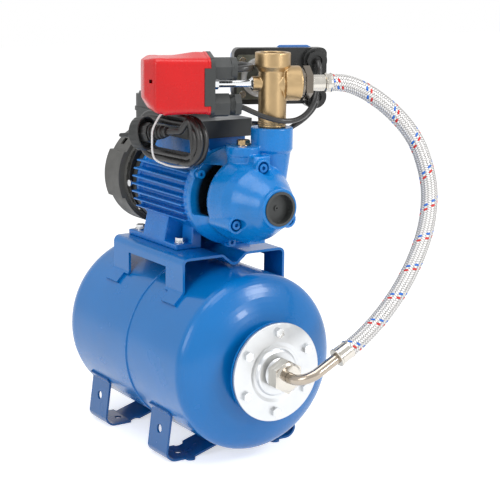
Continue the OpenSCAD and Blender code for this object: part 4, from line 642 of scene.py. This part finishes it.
def skirt_shaded_plastic(name, colour):
    """Grey moulded plastic with painted shade on its slotted skirt towards the motor: black from the skirt's
    start.
    """
    f = moulded_skin(name, colour, 0.55, 0.47, 0.63, 0.06, 0.8)
    along = f.reach(SHAFT, SHAFT_AXIS)[1]
    # Painted shade: black on the skirt, from its start towards the motor
    f.patch(f.ramp(along, 0.0, 1.0, SKIRT_SHADE_FROM[0] * MM, SKIRT_SHADE_FROM[1] * MM), SKIRT_SHADE_COLOUR)
    return f.material


def rubber_sheath(name, colour):
    """A cable's sheath: satin rubber with faint lengthwise drag marks."""
    f = Finish(name, colour, 0.3)
    uv = f.add("ShaderNodeUVMap", uv_map="run").outputs[0]
    run = f.add("ShaderNodeMapping", Vector=uv, Scale=(40, 300, 1)).outputs[0]
    marks = f.add("ShaderNodeTexNoise", Vector=run, Scale=1.0, Detail=3.0).outputs["Fac"]
    f.roughness(f.ramp(marks, 0.24, 0.375))
    f.bump(marks, 0.03)
    return f.material


def braid_finish(name, colours, sizes):
    """A braid of flat steel strands: two sets of helices, each strand two over and two under, and one red
    and one blue strand in the first set. The turn round the hose less the turns along it counts the first
    set's strands, and their sum the second's. The two counts added, by fours, say which set lies on top.
    The height is an arch along the strand's two cells, a crown across it and the ripple of its five wires,
    all of them sines."""
    steel, around = colours.braid, sizes.braid_strands
    f = Finish(name, steel, 0.3)
    split = f.add("ShaderNodeSeparateXYZ", Vector=f.add("ShaderNodeUVMap", uv_map="run").outputs[0])
    u = f.math("MULTIPLY", split.outputs[0], around)
    v = f.math("MULTIPLY", split.outputs[1], around / (sizes.braid_pitch * MM))
    first = f.math("SUBTRACT", u, v)
    second = f.math("ADD", u, v)
    in_first = f.math("FRACT", first)
    in_second = f.math("FRACT", second)
    strand = f.math("FLOOR", first)
    place = f.math("FLOORED_MODULO", f.math("ADD", strand, f.math("FLOOR", second)), 4.0)
    upper = f.math("LESS_THAN", place, 1.5)
    across = f.pick(upper, in_second, in_first)
    along = f.pick(upper, f.math("SUBTRACT", f.math("ADD", place, in_first), 2.0),
                   f.math("ADD", place, in_second))
    wires = f.math("ABSOLUTE", f.math("SINE", f.math("MULTIPLY", across, 5 * math.pi)))
    crown = f.math("SINE", f.math("MULTIPLY", across, math.pi))
    arch = f.math("SINE", f.math("MULTIPLY", along, math.pi / 2))
    height = f.math("ADD", f.math("MULTIPLY", wires, 0.12),
                    f.math("ADD", f.math("MULTIPLY", crown, 0.33), f.math("MULTIPLY", arch, 0.55)))
    f.bump(height, 0.7)
    # Painted shade where the strands dip and meet, and a painted highlight on their crowns: the steel is
    # darker where the height is low and lighter where it is high
    colour = f.blend(f.ramp(height, 0.0, 1.0, 0.18, 0.75), shade(steel, 0.28), shade(steel, 1.2))
    metal = 0.55
    turn = f.math("FLOORED_MODULO", strand, float(around))
    for number, paint in ((0.0, colours.tracer_red), (2.0, colours.tracer_blue)):
        mask = f.math("MULTIPLY", f.math("COMPARE", turn, number, 0.5), upper)
        colour = f.blend(mask, colour, paint)
        metal = f.math("MULTIPLY", metal, f.math("SUBTRACT", 1.0, mask))
    f.put(colour, f.shader.inputs["Base Color"])
    f.put(metal, f.shader.inputs["Metallic"])
    f.roughness(f.ramp(height, 0.5, 0.3, 0.1, 0.8))
    return f.material


# Each finish by its name, from the set's colours
RECIPES = {
    "tank paint": lambda name, c: gloss_paint(name, c.tank),
    # The feet's blue, darker than the tank's, carries painted shade
    "strap paint": lambda name, c: gloss_paint(name, c.strap, 0.6),
    "motor paint": lambda name, c: cast_paint(name, c.motor, 0.05),
    "casing paint": lambda name, c: cast_paint(name, c.casing, 0.07, 0.24),
    "lantern paint": lambda name, c: hollow_shaded_paint(name, c.casing),
    "zinc plate": lambda name, c: plated(name, shade(c.zinc, 0.93), 0.36, 0.4, cloud=0.98, vary=0.1),
    "bright zinc": lambda name, c: plated(name, shade(c.zinc, 0.95), 0.15),
    "nickel": lambda name, c: plated(name, c.nickel, 0.16, 0.25, cloud=0.97),
    "nickel and bronze": lambda name, c: hexagon_nickel(name, c.nickel, c.bronze),
    "bent pipe": lambda name, c: plated(name, c.bronze, 0.2, 0.0, cloud=0.97),
    "bright steel": lambda name, c: plated(name, BRIGHT_STEEL, 0.18, 0.2, cloud=0.98),
    "ground steel": lambda name, c: plated(name, GROUND_STEEL, 0.3),
    "core steel": lambda name, c: plated(name, CORE_STEEL, 0.5),
    "copper wire": lambda name, c: plated(name, COPPER, 0.4, streak=(1, 8, 8)),
    # The switch plate's grey carries painted shade
    "switch plate": lambda name, c: diaphragm_plate(name, c.plate, c.zinc),
    "cast brass": lambda name, c: cast_brass(name, c.brass),
    "turned brass": lambda name, c: turned_brass(name, c.brass),
    "fan skirt": lambda name, c: skirt_shaded_plastic(name, c.cover),
    "black plastic": lambda name, c: moulded(name, c.plastic, 0.45),
    "box plastic": lambda name, c: moulded(name, c.plastic, 0.38, 0.03, 0.8),
    "red plastic": lambda name, c: moulded(name, c.red, 0.28, 0.015, 0.0, 700),
    # The rear switch's lid: its blue, made paler as painted sheen
    "blue plastic": lambda name, c: moulded(name, c.lid_blue_and_sheen, 0.25, 0.012, 0.0, 700),
    "soft plastic": lambda name, c: moulded(name, shade(c.plastic, 0.8), 0.5, 0.03, 0.0),
    "white plastic": lambda name, c: moulded(name, WHITE, 0.4, 0.01, 0.0),
    "switch black": lambda name, c: moulded(name, shade(c.plastic, 0.55), 0.3, 0.02, 0.6),
    "rubber": lambda name, c: moulded(name, RUBBER, 0.6, 0.05),
    "sheath": lambda name, c: rubber_sheath(name, c.cable),
    "braid": lambda name, c: braid_finish(name, c, bpy.context.scene.pump_sizes),
}
FINISHES = {}


def finish(name):
    """The material of that name, made once."""
    if name not in FINISHES:
        FINISHES[name] = RECIPES[name](name, bpy.context.scene.pump_colours)
    return FINISHES[name]


def dress(material, *nodes):
    """CAD nodes that stay get a finish."""
    for name in nodes:
        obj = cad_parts[name]
        obj.data.materials.clear()
        obj.data.materials.append(finish(material))


# Settings that a user may change

def colour_setting(name, text, value):
    """A colour as it is seen, with its default."""
    return FloatVectorProperty(name=name, description=text, default=value, size=3, min=0.0, max=1.0,
                               subtype="COLOR_GAMMA")


def number_setting(name, text, value, low, high):
    """A number with its default, its least and its most."""
    return FloatProperty(name=name, description=text, default=value, min=low, max=high)


class PumpColours(bpy.types.PropertyGroup):
    """Colours of the set, as they are seen."""
    tank: colour_setting("Tank", "Gloss paint of the tank and the bracket", (0.01, 0.44, 0.73))
    # Darker than the tank's blue: painted shade for the feet's place under the tank
    strap: colour_setting("Feet", "Paint of the two strap feet", (0.03, 0.37, 0.63))
    motor: colour_setting("Motor", "Paint of the motor housing", (0.01, 0.465, 0.79))
    casing: colour_setting("Pump", "Paint of the pump casing and the lantern", (0.01, 0.475, 0.78))
    zinc: colour_setting("Zinc", "Zinc plate of the flange, bolts and switch plate", (0.86, 0.87, 0.88))
    nickel: colour_setting("Nickel", "Nickel plate of the hose's fittings", (0.77, 0.755, 0.725))
    bronze: colour_setting("Dull nickel", "Nickel of the hose's hexagon and bent pipe", (0.66, 0.62, 0.57))
    # Darker than the plate's own grey: painted shade for the shadow on it
    plate: colour_setting("Switch plate", "Passivated plate of the rear switch", (0.42, 0.43, 0.40))
    brass: colour_setting("Brass", "Brass of the five-way fitting", (0.69, 0.59, 0.44))
    plastic: colour_setting("Black plastic", "Terminal box, switch bases and glands", (0.20, 0.21, 0.21))
    cover: colour_setting("Fan cover", "Dark grey plastic of the fan cover", (0.32, 0.32, 0.31))
    red: colour_setting("Red", "Cover of the front switch", (0.80, 0.025, 0.045))
    # Paler than the lid's own blue: painted sheen for the gloss on its top
    lid_blue_and_sheen: colour_setting("Blue lid", "Cover of the rear switch", (0.30, 0.50, 0.78))
    cable: colour_setting("Cables", "Sheath of the cables", (0.165, 0.165, 0.165))
    braid: colour_setting("Braid", "Steel strands of the hose", (0.73, 0.725, 0.72))
    tracer_blue: colour_setting("Blue tracer", "Blue strand of the braid", (0.02, 0.42, 0.82))
    tracer_red: colour_setting("Red tracer", "Red strand of the braid", (0.84, 0.10, 0.08))
    floor: colour_setting("Floor", "Pale studio floor", (0.96, 0.96, 0.96))


class PumpSizes(bpy.types.PropertyGroup):
    """Sizes in millimetres, and the strength of the studio's light."""
    cast_cell: number_setting("Casting cell", "Cell size of the rounded castings, in millimetres",
                              0.9, 0.5, 3.0)
    hose_d: number_setting("Hose", "Outer diameter of the hose, in millimetres", 19.6, 10.0, 30.0)
    cable_d: number_setting("Cable", "Diameter of the two short cables, in millimetres", 6.0, 4.0, 8.0)
    lead_d: number_setting("Mains lead", "Diameter of the mains lead, in millimetres", 7.4, 5.0, 9.0)
    braid_strands: IntProperty(name="Braid strands", description="Strands each way round the hose",
                               default=14, min=8, max=36)
    braid_pitch: number_setting("Braid pitch", "Length of one turn of a strand, in millimetres",
                                40.0, 20.0, 200.0)
    fill_light: number_setting("Fill light", "Strength of the light from all sides", 0.48, 0.0, 2.0)
    floor_glow: number_setting("Floor glow", "White added to the floor where it is seen", 0.6, 0.0, 1.0)


class Step(bpy.types.Operator):
    """What every piece operator shares."""
    bl_options = {"REGISTER", "UNDO"}


# Stage

def seen_rays(tree, strength):
    """The strength for rays from the camera and for those that a gloss or a glass sends on, otherwise 0."""
    rays = tree.nodes.new("ShaderNodeLightPath")
    total = rays.outputs["Is Camera Ray"]
    for name in ("Is Glossy Ray", "Is Transmission Ray"):
        larger = tree.nodes.new("ShaderNodeMath")
        larger.operation = "MAXIMUM"
        tree.links.new(total, larger.inputs[0])
        tree.links.new(rays.outputs[name], larger.inputs[1])
        total = larger.outputs[0]
    scale = tree.nodes.new("ShaderNodeMath")
    scale.operation = "MULTIPLY"
    scale.inputs[1].default_value = strength
    tree.links.new(total, scale.inputs[0])
    return scale.outputs[0]


class PUMPSET_OT_stage(Step):
    """Pale floor, soft studio light and the photograph's camera"""
    bl_idname = "pumpset.stage"
    bl_label = "Stage"

    def execute(self, context):
        scene = context.scene
        scene.view_settings.view_transform = "Standard"
        self.place_camera(scene)
        self.lay_floor(scene)
        self.light_studio(scene)
        self.hang_lamps()
        return {"FINISHED"}

    def place_camera(self, scene):
        """A camera whose lens is its sensor's width times the focal length over the photograph's width."""
        camera = bpy.data.cameras.new("camera")
        camera.sensor_width = SENSOR
        camera.lens = SENSOR * FOCAL_PIXELS / PHOTO_WIDTH
        camera.clip_end = 50
        holder = new_object("camera", camera)
        back = np.cross(CAMERA_RIGHT, CAMERA_UP)
        columns = (CAMERA_RIGHT, CAMERA_UP, back, CAMERA_EYE * MM)
        holder.matrix_world = Matrix([[column[i] for column in columns] for i in range(3)] + [[0, 0, 0, 1]])
        scene.camera = holder

    def lay_floor(self, scene):
        """A flat floor that is as white as the studio where it is seen, less the object's shadow."""
        mesh = bpy.data.meshes.new("floor")
        corners = [(x * FLOOR_HALF, y * FLOOR_HALF, 0) for x, y in ((-1, -1), (1, -1), (1, 1), (-1, 1))]
        mesh.from_pydata(corners, [], [(0, 1, 2, 3)])
        floor = new_object("floor", mesh)
        material = bpy.data.materials.new("floor")
        material.use_nodes = True
        tree = material.node_tree
        shader = tree.nodes["Principled BSDF"]
        shader.inputs["Base Color"].default_value = linear(scene.pump_colours.floor)
        shader.inputs["Roughness"].default_value = 0.9
        shader.inputs["Specular IOR Level"].default_value = 0.1
        glow = tree.nodes.new("ShaderNodeEmission")
        tree.links.new(seen_rays(tree, scene.pump_sizes.floor_glow), glow.inputs["Strength"])
        both = tree.nodes.new("ShaderNodeAddShader")
        tree.links.new(shader.outputs[0], both.inputs[0])
        tree.links.new(glow.outputs[0], both.inputs[1])
        tree.links.new(both.outputs[0], tree.nodes["Material Output"].inputs[0])
        mesh.materials.append(material)

    def light_studio(self, scene):
        """Even light from all sides, and plain white where the camera or a gloss sees the studio."""
        world = bpy.data.worlds.new("studio")
        world.use_nodes = True
        tree = world.node_tree
        soft = tree.nodes["Background"]
        seen = tree.nodes.new("ShaderNodeBackground")
        for background, strength in ((soft, scene.pump_sizes.fill_light), (seen, 1.0)):
            background.inputs[0].default_value = (1, 1, 1, 1)
            background.inputs[1].default_value = strength
        pick = tree.nodes.new("ShaderNodeMixShader")
        tree.links.new(seen_rays(tree, 1.0), pick.inputs[0])
        tree.links.new(soft.outputs[0], pick.inputs[1])
        tree.links.new(seen.outputs[0], pick.inputs[2])
        tree.links.new(pick.outputs[0], tree.nodes["World Output"].inputs[0])
        scene.world = world

    def hang_lamps(self):
        """The square softboxes, each turned towards its aim."""
        for name, place, aim, size, power in LAMPS:
            lamp = bpy.data.lights.new(name, "AREA")
            lamp.shape = "SQUARE"
            lamp.size = size
            lamp.energy = power
            holder = new_object(name, lamp)
            holder.location = place
            holder.rotation_euler = (Vector(aim) - Vector(place)).to_track_quat("-Z", "Y").to_euler()


# Cords and what is on them

def coil_point(u, n, z):
    """The point u along the lead's coil, n behind its middle plane and z above its centre."""
    return COIL + u * COIL_U + n * COIL_N + z * UP


def stadium(t, radius):
    """The points at turns t of an outline of two straights and two half circles, from the middle of the top:
    the share of a turn gives the way along the outline, which lies on a straight, or on a half circle at
    the sine and cosine of the way over the radius."""
    half = COIL_HALF_STRAIGHT
    bend = math.pi * radius
    s = (t % 1.0) * (4 * half + 2 * bend)
    # The way past the start of the left bend, the bottom, the right bend and the rest of the top
    left, bottom, right, top = s - half, s - half - bend, s - 3 * half - bend, s - 3 * half - 2 * bend
    where = [left < 0, bottom < 0, right < 0, top < 0]
    u = np.select(where, [-s, -half - radius * np.sin(left / radius), bottom - half,
                          half + radius * np.sin(right / radius)], half - top)
    z = np.select(where, [radius, radius * np.cos(left / radius), -radius,
                          -radius * np.cos(right / radius)], radius)
    return u, z


def ease(x):
    """From 0 to 1 as x does, level at both ends: half of 1 less the cosine of half a turn times x."""
    return 0.5 - 0.5 * np.cos(math.pi * np.clip(x, 0, 1))


def lead_path():
    """The whole mains lead: gland to coil, four turns laid two by two, and up to the plug. The turns follow
    a stadium whose radius is smaller for the two inner ones, and move from behind to in front half way.
    Slow sines keep them from lying quite even."""
    enter = [coil_point(*place) for place in ((12, 22.5, 41), (8.5, 17.5, 34.5), (2, 11.5, 29.5),
                                              (-6.5, 6.4, 26.6))]
    t = np.arange(COIL_BEGIN, COIL_END, 1 / COIL_POINTS)
    inner = ease((t - COIL_IN) / COIL_SHIFT) * (1 - ease((t - COIL_OUT) / COIL_SHIFT))
    front = ease((t - COIL_FRONT) / COIL_SHIFT)
    radius = COIL_RADIUS - COIL_INNER_LESS * inner + 0.35 * np.sin(5.1 * t + 0.6)
    depth = COIL_LAYER - 2 * COIL_LAYER * front + 0.3 * np.sin(4.3 * t)
    u, z = stadium(t, radius)
    turns = coil_point(u[:, None], depth[:, None], z[:, None])
    leave = [coil_point(40.5, -6.4, 24.0), coil_point(35.5, -8.6, 18.8)]
    into_plug = [PLUG + PLUG_AXIS * x for x in (48.5, 44.5, 39.5, 34.5, 29.5)]
    return list(LEAD_ROUTE) + enter + list(turns[:-1]) + leave + into_plug


def cord_piece(name, route, diameter, step, sides, material):
    """A round cord along a smooth route, its path in metres and its length in metres."""
    path = smooth_route(route, step)
    grid = tube_grid(path, diameter / 2, sides)
    piece = piece_from(name, [grid], finish(material), uv=True, smooth=60)
    return piece, path * MM, float(path_length(path) * MM)


class PUMPSET_OT_hose(Step):
    """Braided hose between the five-way fitting and the tank, with its fittings"""
    bl_idname = "pumpset.hose"
    bl_label = "Hose"

    def execute(self, context):
        d = context.scene.pump_sizes.hose_d
        hose, path, length = cord_piece("braided_hose", HOSE_ROUTE, d, step=1.6, sides=48,
                                        material="braid")
        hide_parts("hose")
        dress("nickel and bronze", "hose_top_nipple")
        dress("nickel", "hose_ferrules", "hose_nut")
        dress("bent pipe", "hose_elbow")
        dress("rubber", "hose_gasket")
        return {"FINISHED"}


def ribs(x, a):
    """The grip's twenty ribs: a little more radius where the cosine of twenty times the angle is above a
    tenth, between the grip's two rims."""
    return 1 + 0.028 * (np.cos(20 * a) > 0.1) * (x < -0.5) * (x > -10.5)


def facets(x, a):
    """An octagon in its circle: the cosine of an eighth of a half turn over that of the angle from the
    nearest face's middle."""
    return math.cos(math.pi / 8) / np.cos((a % (math.pi / 4)) - math.pi / 8)


class PUMPSET_OT_cables(Step):
    """Jumper and motor cables, and the mains lead with its coil, plug and tie"""
    bl_idname = "pumpset.cables"
    bl_label = "Cables"

    def execute(self, context):
        h = context.scene.pump_sizes
        for name, node, route in (("jumper", "jumper_cable", JUMPER_ROUTE),
                                  ("motor_lead", "motor_cable", MOTOR_CABLE_ROUTE)):
            cable, path, length = cord_piece(name, route, h.cable_d, step=1.5, sides=20,
                                             material="sheath")
            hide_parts(node)
        plug = self.plug()
        tie = self.tie()
        lead, path, length = cord_piece("mains_flex", lead_path(), h.lead_d, step=1.7, sides=20,
                                        material="sheath")
        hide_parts("mains_lead", "mains_coil", "plug_lead")
        return {"FINISHED"}

    def plug(self):
        """Earthed mains plug: ribbed grip, hollow back, hub, strain relief and two pins. The relief's radius
        falls evenly, plus the rings: a sine along it, cut off flat at both sides."""
        x = np.linspace(RELIEF_FROM, RELIEF_TO, 110)
        rings = np.clip(1.6 * np.sin((x - RINGS_FROM) * 2 * math.pi / RINGS_PITCH), -1, 1) * (x < RINGS_TO)
        taper = RELIEF_TAPER * (x - RELIEF_FROM) / (RELIEF_TO - RELIEF_FROM)
        radius = RELIEF_RADIUS - taper + RINGS_HEIGHT * rings
        relief = np.vstack([[RELIEF_FROM, 0], np.stack([x, radius], 1), [RELIEF_TO, 0]])
        grids = [lathe_grid(GRIP, PLUG, PLUG_AXIS, sides=160, ripple=ribs),
                 lathe_grid(HUB, PLUG, PLUG_AXIS, sides=64, ripple=facets),
                 lathe_grid(relief, PLUG, PLUG_AXIS, sides=40)]
        side = unit(np.cross(UP, PLUG_AXIS))
        for off in (-PIN_APART, PIN_APART):
            grids.append(lathe_grid(PIN, PLUG + off * side, PLUG_AXIS, sides=20))
        obj = piece_from("plug", grids, finish("soft plastic"), caps=False, smooth=40)
        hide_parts("mains_plug")
        return obj

    def tie(self):
        """White twist tie round the coil and the plug's relief: circles round a closed curve through its
        outline, cut from a longer one where it comes back to its start."""
        across, up = TIE_OUTLINE.T
        loop = np.stack([TIE_PLACE + TIE_SLANT * (across - TIE_FRONT), across, up], 1)
        path = smooth_route(np.vstack([loop[-3:], loop, loop[:4]]), step=1.2)
        first = np.argmin(np.linalg.norm(path[:len(path) // 3] - loop[0], axis=1))
        past = first + 20  # past the start's own neighbours
        last = past + np.argmin(np.linalg.norm(path[past:] - loop[0], axis=1))
        path = path[first:last]
        t = np.roll(path, -1, 0) - np.roll(path, 1, 0)
        n = np.broadcast_to([1.0, 0, 0], t.shape)
        grid = circles(path, n, unit(np.cross(t, n)), TIE_RADIUS, sides=12)
        obj = piece_from("twist_tie", [grid], finish("white plastic"),
                         closed_rows=True, smooth=180)
        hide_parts("coil_tie")
        return obj


# Tank, motor and pump

class PUMPSET_OT_tank(Step):
    """Tank shells, flange, feet and bracket"""
    bl_idname = "pumpset.tank"
    bl_label = "Tank"

    def execute(self, context):
        dress("tank paint", "tank_front_shell", "tank_rear_shell", "pump_bracket")
        dress("strap paint", "front_foot", "rear_foot")
        dress("zinc plate", "tank_flange")
        dress("bright zinc", "flange_bolts", "flange_nuts", "foot_bolts", "foot_nuts")
        dress("turned brass", "air_valve")
        dress("black plastic", "air_valve_cap")
        dress("rubber", "tank_membrane")
        return {"FINISHED"}


class PUMPSET_OT_motor(Step):
    """Finned motor, fan cover and terminal box"""
    bl_idname = "pumpset.motor"
    bl_label = "Motor"

    def execute(self, context):
        cell = context.scene.pump_sizes.cast_cell
        cast_copy("motor_housing", "motor_body", finish("motor paint"), cell, rounds=2)
        dress("fan skirt", "fan_cover")
        dress("black plastic", "rear_shield", "cooling_fan", "terminal_gland")
        dress("box plastic", "terminal_box", "terminal_lid")
        dress("bright zinc", "fan_cover_screws", "run_capacitor")
        dress("core steel", "stator_core", "rotor_core")
        dress("copper wire", "stator_winding")
        dress("ground steel", "motor_shaft", "front_bearing", "rear_bearing")
        return {"FINISHED"}


class PUMPSET_OT_pump(Step):
    """Lantern, casing and what sits in them"""
    bl_idname = "pumpset.pump"
    bl_label = "Pump"

    def execute(self, context):
        cell = context.scene.pump_sizes.cast_cell
        cast_copy("pump_casing", "pump_body", finish("casing paint"), cell, rounds=4)
        cast_copy("lantern_bracket", "lantern", finish("lantern paint"), cell, rounds=3)
        dress("casing paint", "lantern_screws", "casing_screws")
        dress("turned brass", "impeller", "priming_plug")
        dress("rubber", "shaft_seal")
        dress("black plastic", "inlet_cap")
        return {"FINISHED"}


# Five-way fitting and its switches

class PUMPSET_OT_fitting(Step):
    """Brass five-way fitting"""
    bl_idname = "pumpset.fitting"
    bl_label = "Five-way fitting"

    def execute(self, context):
        cast_copy("five_way_fitting", "five_way_body", finish("cast brass"), BRASS_CELL,
                  rounds=2)
        return {"FINISHED"}


def bend_from(x, soft):
    """A hyperbola that is nearly 0 before x is 0 and nearly x after it, rounded over soft millimetres: half
    of x plus the root of x squared plus soft squared."""
    return (math.hypot(x, soft) + x) / 2


def red_cover_rows():
    """The red cover's cross-sections from its lip to its front: distance from the fitting, height of the
    middle, half width, half height, corner radius and ridge. Behind the front, the middle and the half
    height follow a curve of the second degree in the share of the way, and the width shrinks evenly. At the
    front, the floor, the roof and the sides each bend inwards along a hyperbola."""
    rows = [(s, middle, COVER_W + wider, COVER_H + higher, radius, ridge)
            for s, middle, wider, higher, radius, ridge in COVER_LIP]
    for s in np.linspace(86, 128, 15):
        k = (s - 80) / 50.5
        half_h = COVER_H - 0.65 * k + 1.6 * k ** 2
        ridge = 5.6 * min(1, max(0, (124 - s) / 33))
        rows.append((s, 1.45 * k - 1.6 * k ** 2, COVER_W - 0.8 * k, half_h, 6.5, ridge))
    front = [np.linspace(130, 136, 4), np.linspace(137, 142, 11), np.linspace(143, 148.4, 8)]
    for s in np.concatenate(front):
        bottom = -30.2 + 1.5 * bend_from(s - 138, 3)
        top = 31.7 - 0.35 * bend_from(s - 139, 3)
        half_w = COVER_W - 0.8 - 1.85 * bend_from(s - 139, 1.4)
        rows.append((s, (top + bottom) / 2, half_w, (top - bottom) / 2, min(6.5, half_w - 0.2), 0.0))
    return rows


def red_cover_grid():
    """The red cover: rounded rectangles along the fitting's axis. Above the middle each is lifted to its
    ridge, in full near the middle of the width and falling evenly to nothing 3.5 mm from the side."""
    rings = []
    for s, middle, half_w, half_h, radius, ridge in red_cover_rows():
        ring = rounded_ring(half_w, half_h, radius, 9, 16) + [0, middle]
        lift = np.clip((half_w - 3.5 - np.abs(ring[:, 0])) / (half_w - 6), 0, 1) * (ring[:, 1] > middle)
        ring[:, 1] += ridge * lift
        rings.append(RED_SWITCH - s * ALONG + ring[:, :1] * BEHIND + ring[:, 1:] * UP)
    return np.stack(rings)


class PUMPSET_OT_red_switch(Step):
    """Front pressure switch with its red cover"""
    bl_idname = "pumpset.red_switch"
    bl_label = "Red switch"

    def execute(self, context):
        cover = piece_from("red_cover", [red_cover_grid()], finish("red plastic"),
                           smooth=COVER_SMOOTH)
        # The step in the lip's side, and the slot in the front
        carve(cover, RED_SWITCH, (-84.5, -40, -21.5), (-70, -23, 20.5))
        carve(cover, RED_SWITCH, (-144.2, -40, 4.0), (-140.9, -6.0, 8.0))
        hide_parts("red_switch_cover")
        dress("black plastic", "red_switch_base", "red_switch_glands")
        dress("bright steel", "red_switch_stem")
        return {"FINISHED"}


class PUMPSET_OT_rear_switch(Step):
    """Rear pressure switch with its zinc plate and blue cover"""
    bl_idname = "pumpset.rear_switch"
    bl_label = "Rear switch"

    def execute(self, context):
        dress("switch black", "rear_switch_base", "rear_switch_glands")
        dress("blue plastic", "rear_switch_cover")
        dress("switch plate", "rear_switch_plate")
        dress("bright zinc", "rear_switch_screws", "rear_switch_nipple")
        return {"FINISHED"}


OPERATORS = (PUMPSET_OT_stage, PUMPSET_OT_hose, PUMPSET_OT_cables, PUMPSET_OT_tank, PUMPSET_OT_motor,
             PUMPSET_OT_pump, PUMPSET_OT_fitting, PUMPSET_OT_red_switch, PUMPSET_OT_rear_switch)


class PUMPSET_PT_panel(bpy.types.Panel):
    """The set's settings and pieces"""
    bl_idname = "PUMPSET_PT_panel"
    bl_label = "Pump set"
    bl_space_type = "VIEW_3D"
    bl_region_type = "UI"
    bl_category = "Pump set"

    def draw(self, context):
        for group in (context.scene.pump_sizes, context.scene.pump_colours):
            for key in group.__annotations__:
                self.layout.prop(group, key)
        for operator in OPERATORS:
            self.layout.operator(operator.bl_idname)


CLASSES = (PumpColours, PumpSizes) + OPERATORS + (PUMPSET_PT_panel,)


def register():
    """Registers the classes and puts the settings on the scene."""
    for each in CLASSES:
        bpy.utils.register_class(each)
    bpy.types.Scene.pump_colours = PointerProperty(type=PumpColours)
    bpy.types.Scene.pump_sizes = PointerProperty(type=PumpSizes)


def unregister():
    """Takes the settings and the classes away again."""
    del bpy.types.Scene.pump_sizes
    del bpy.types.Scene.pump_colours
    for each in reversed(CLASSES):
        bpy.utils.unregister_class(each)


def main():
    """Makes the stage and every piece in order."""
    register()
    for operator in OPERATORS:
        group, name = operator.bl_idname.split(".")
        getattr(getattr(bpy.ops, group), name)()


if __name__ == "__main__":
    main()
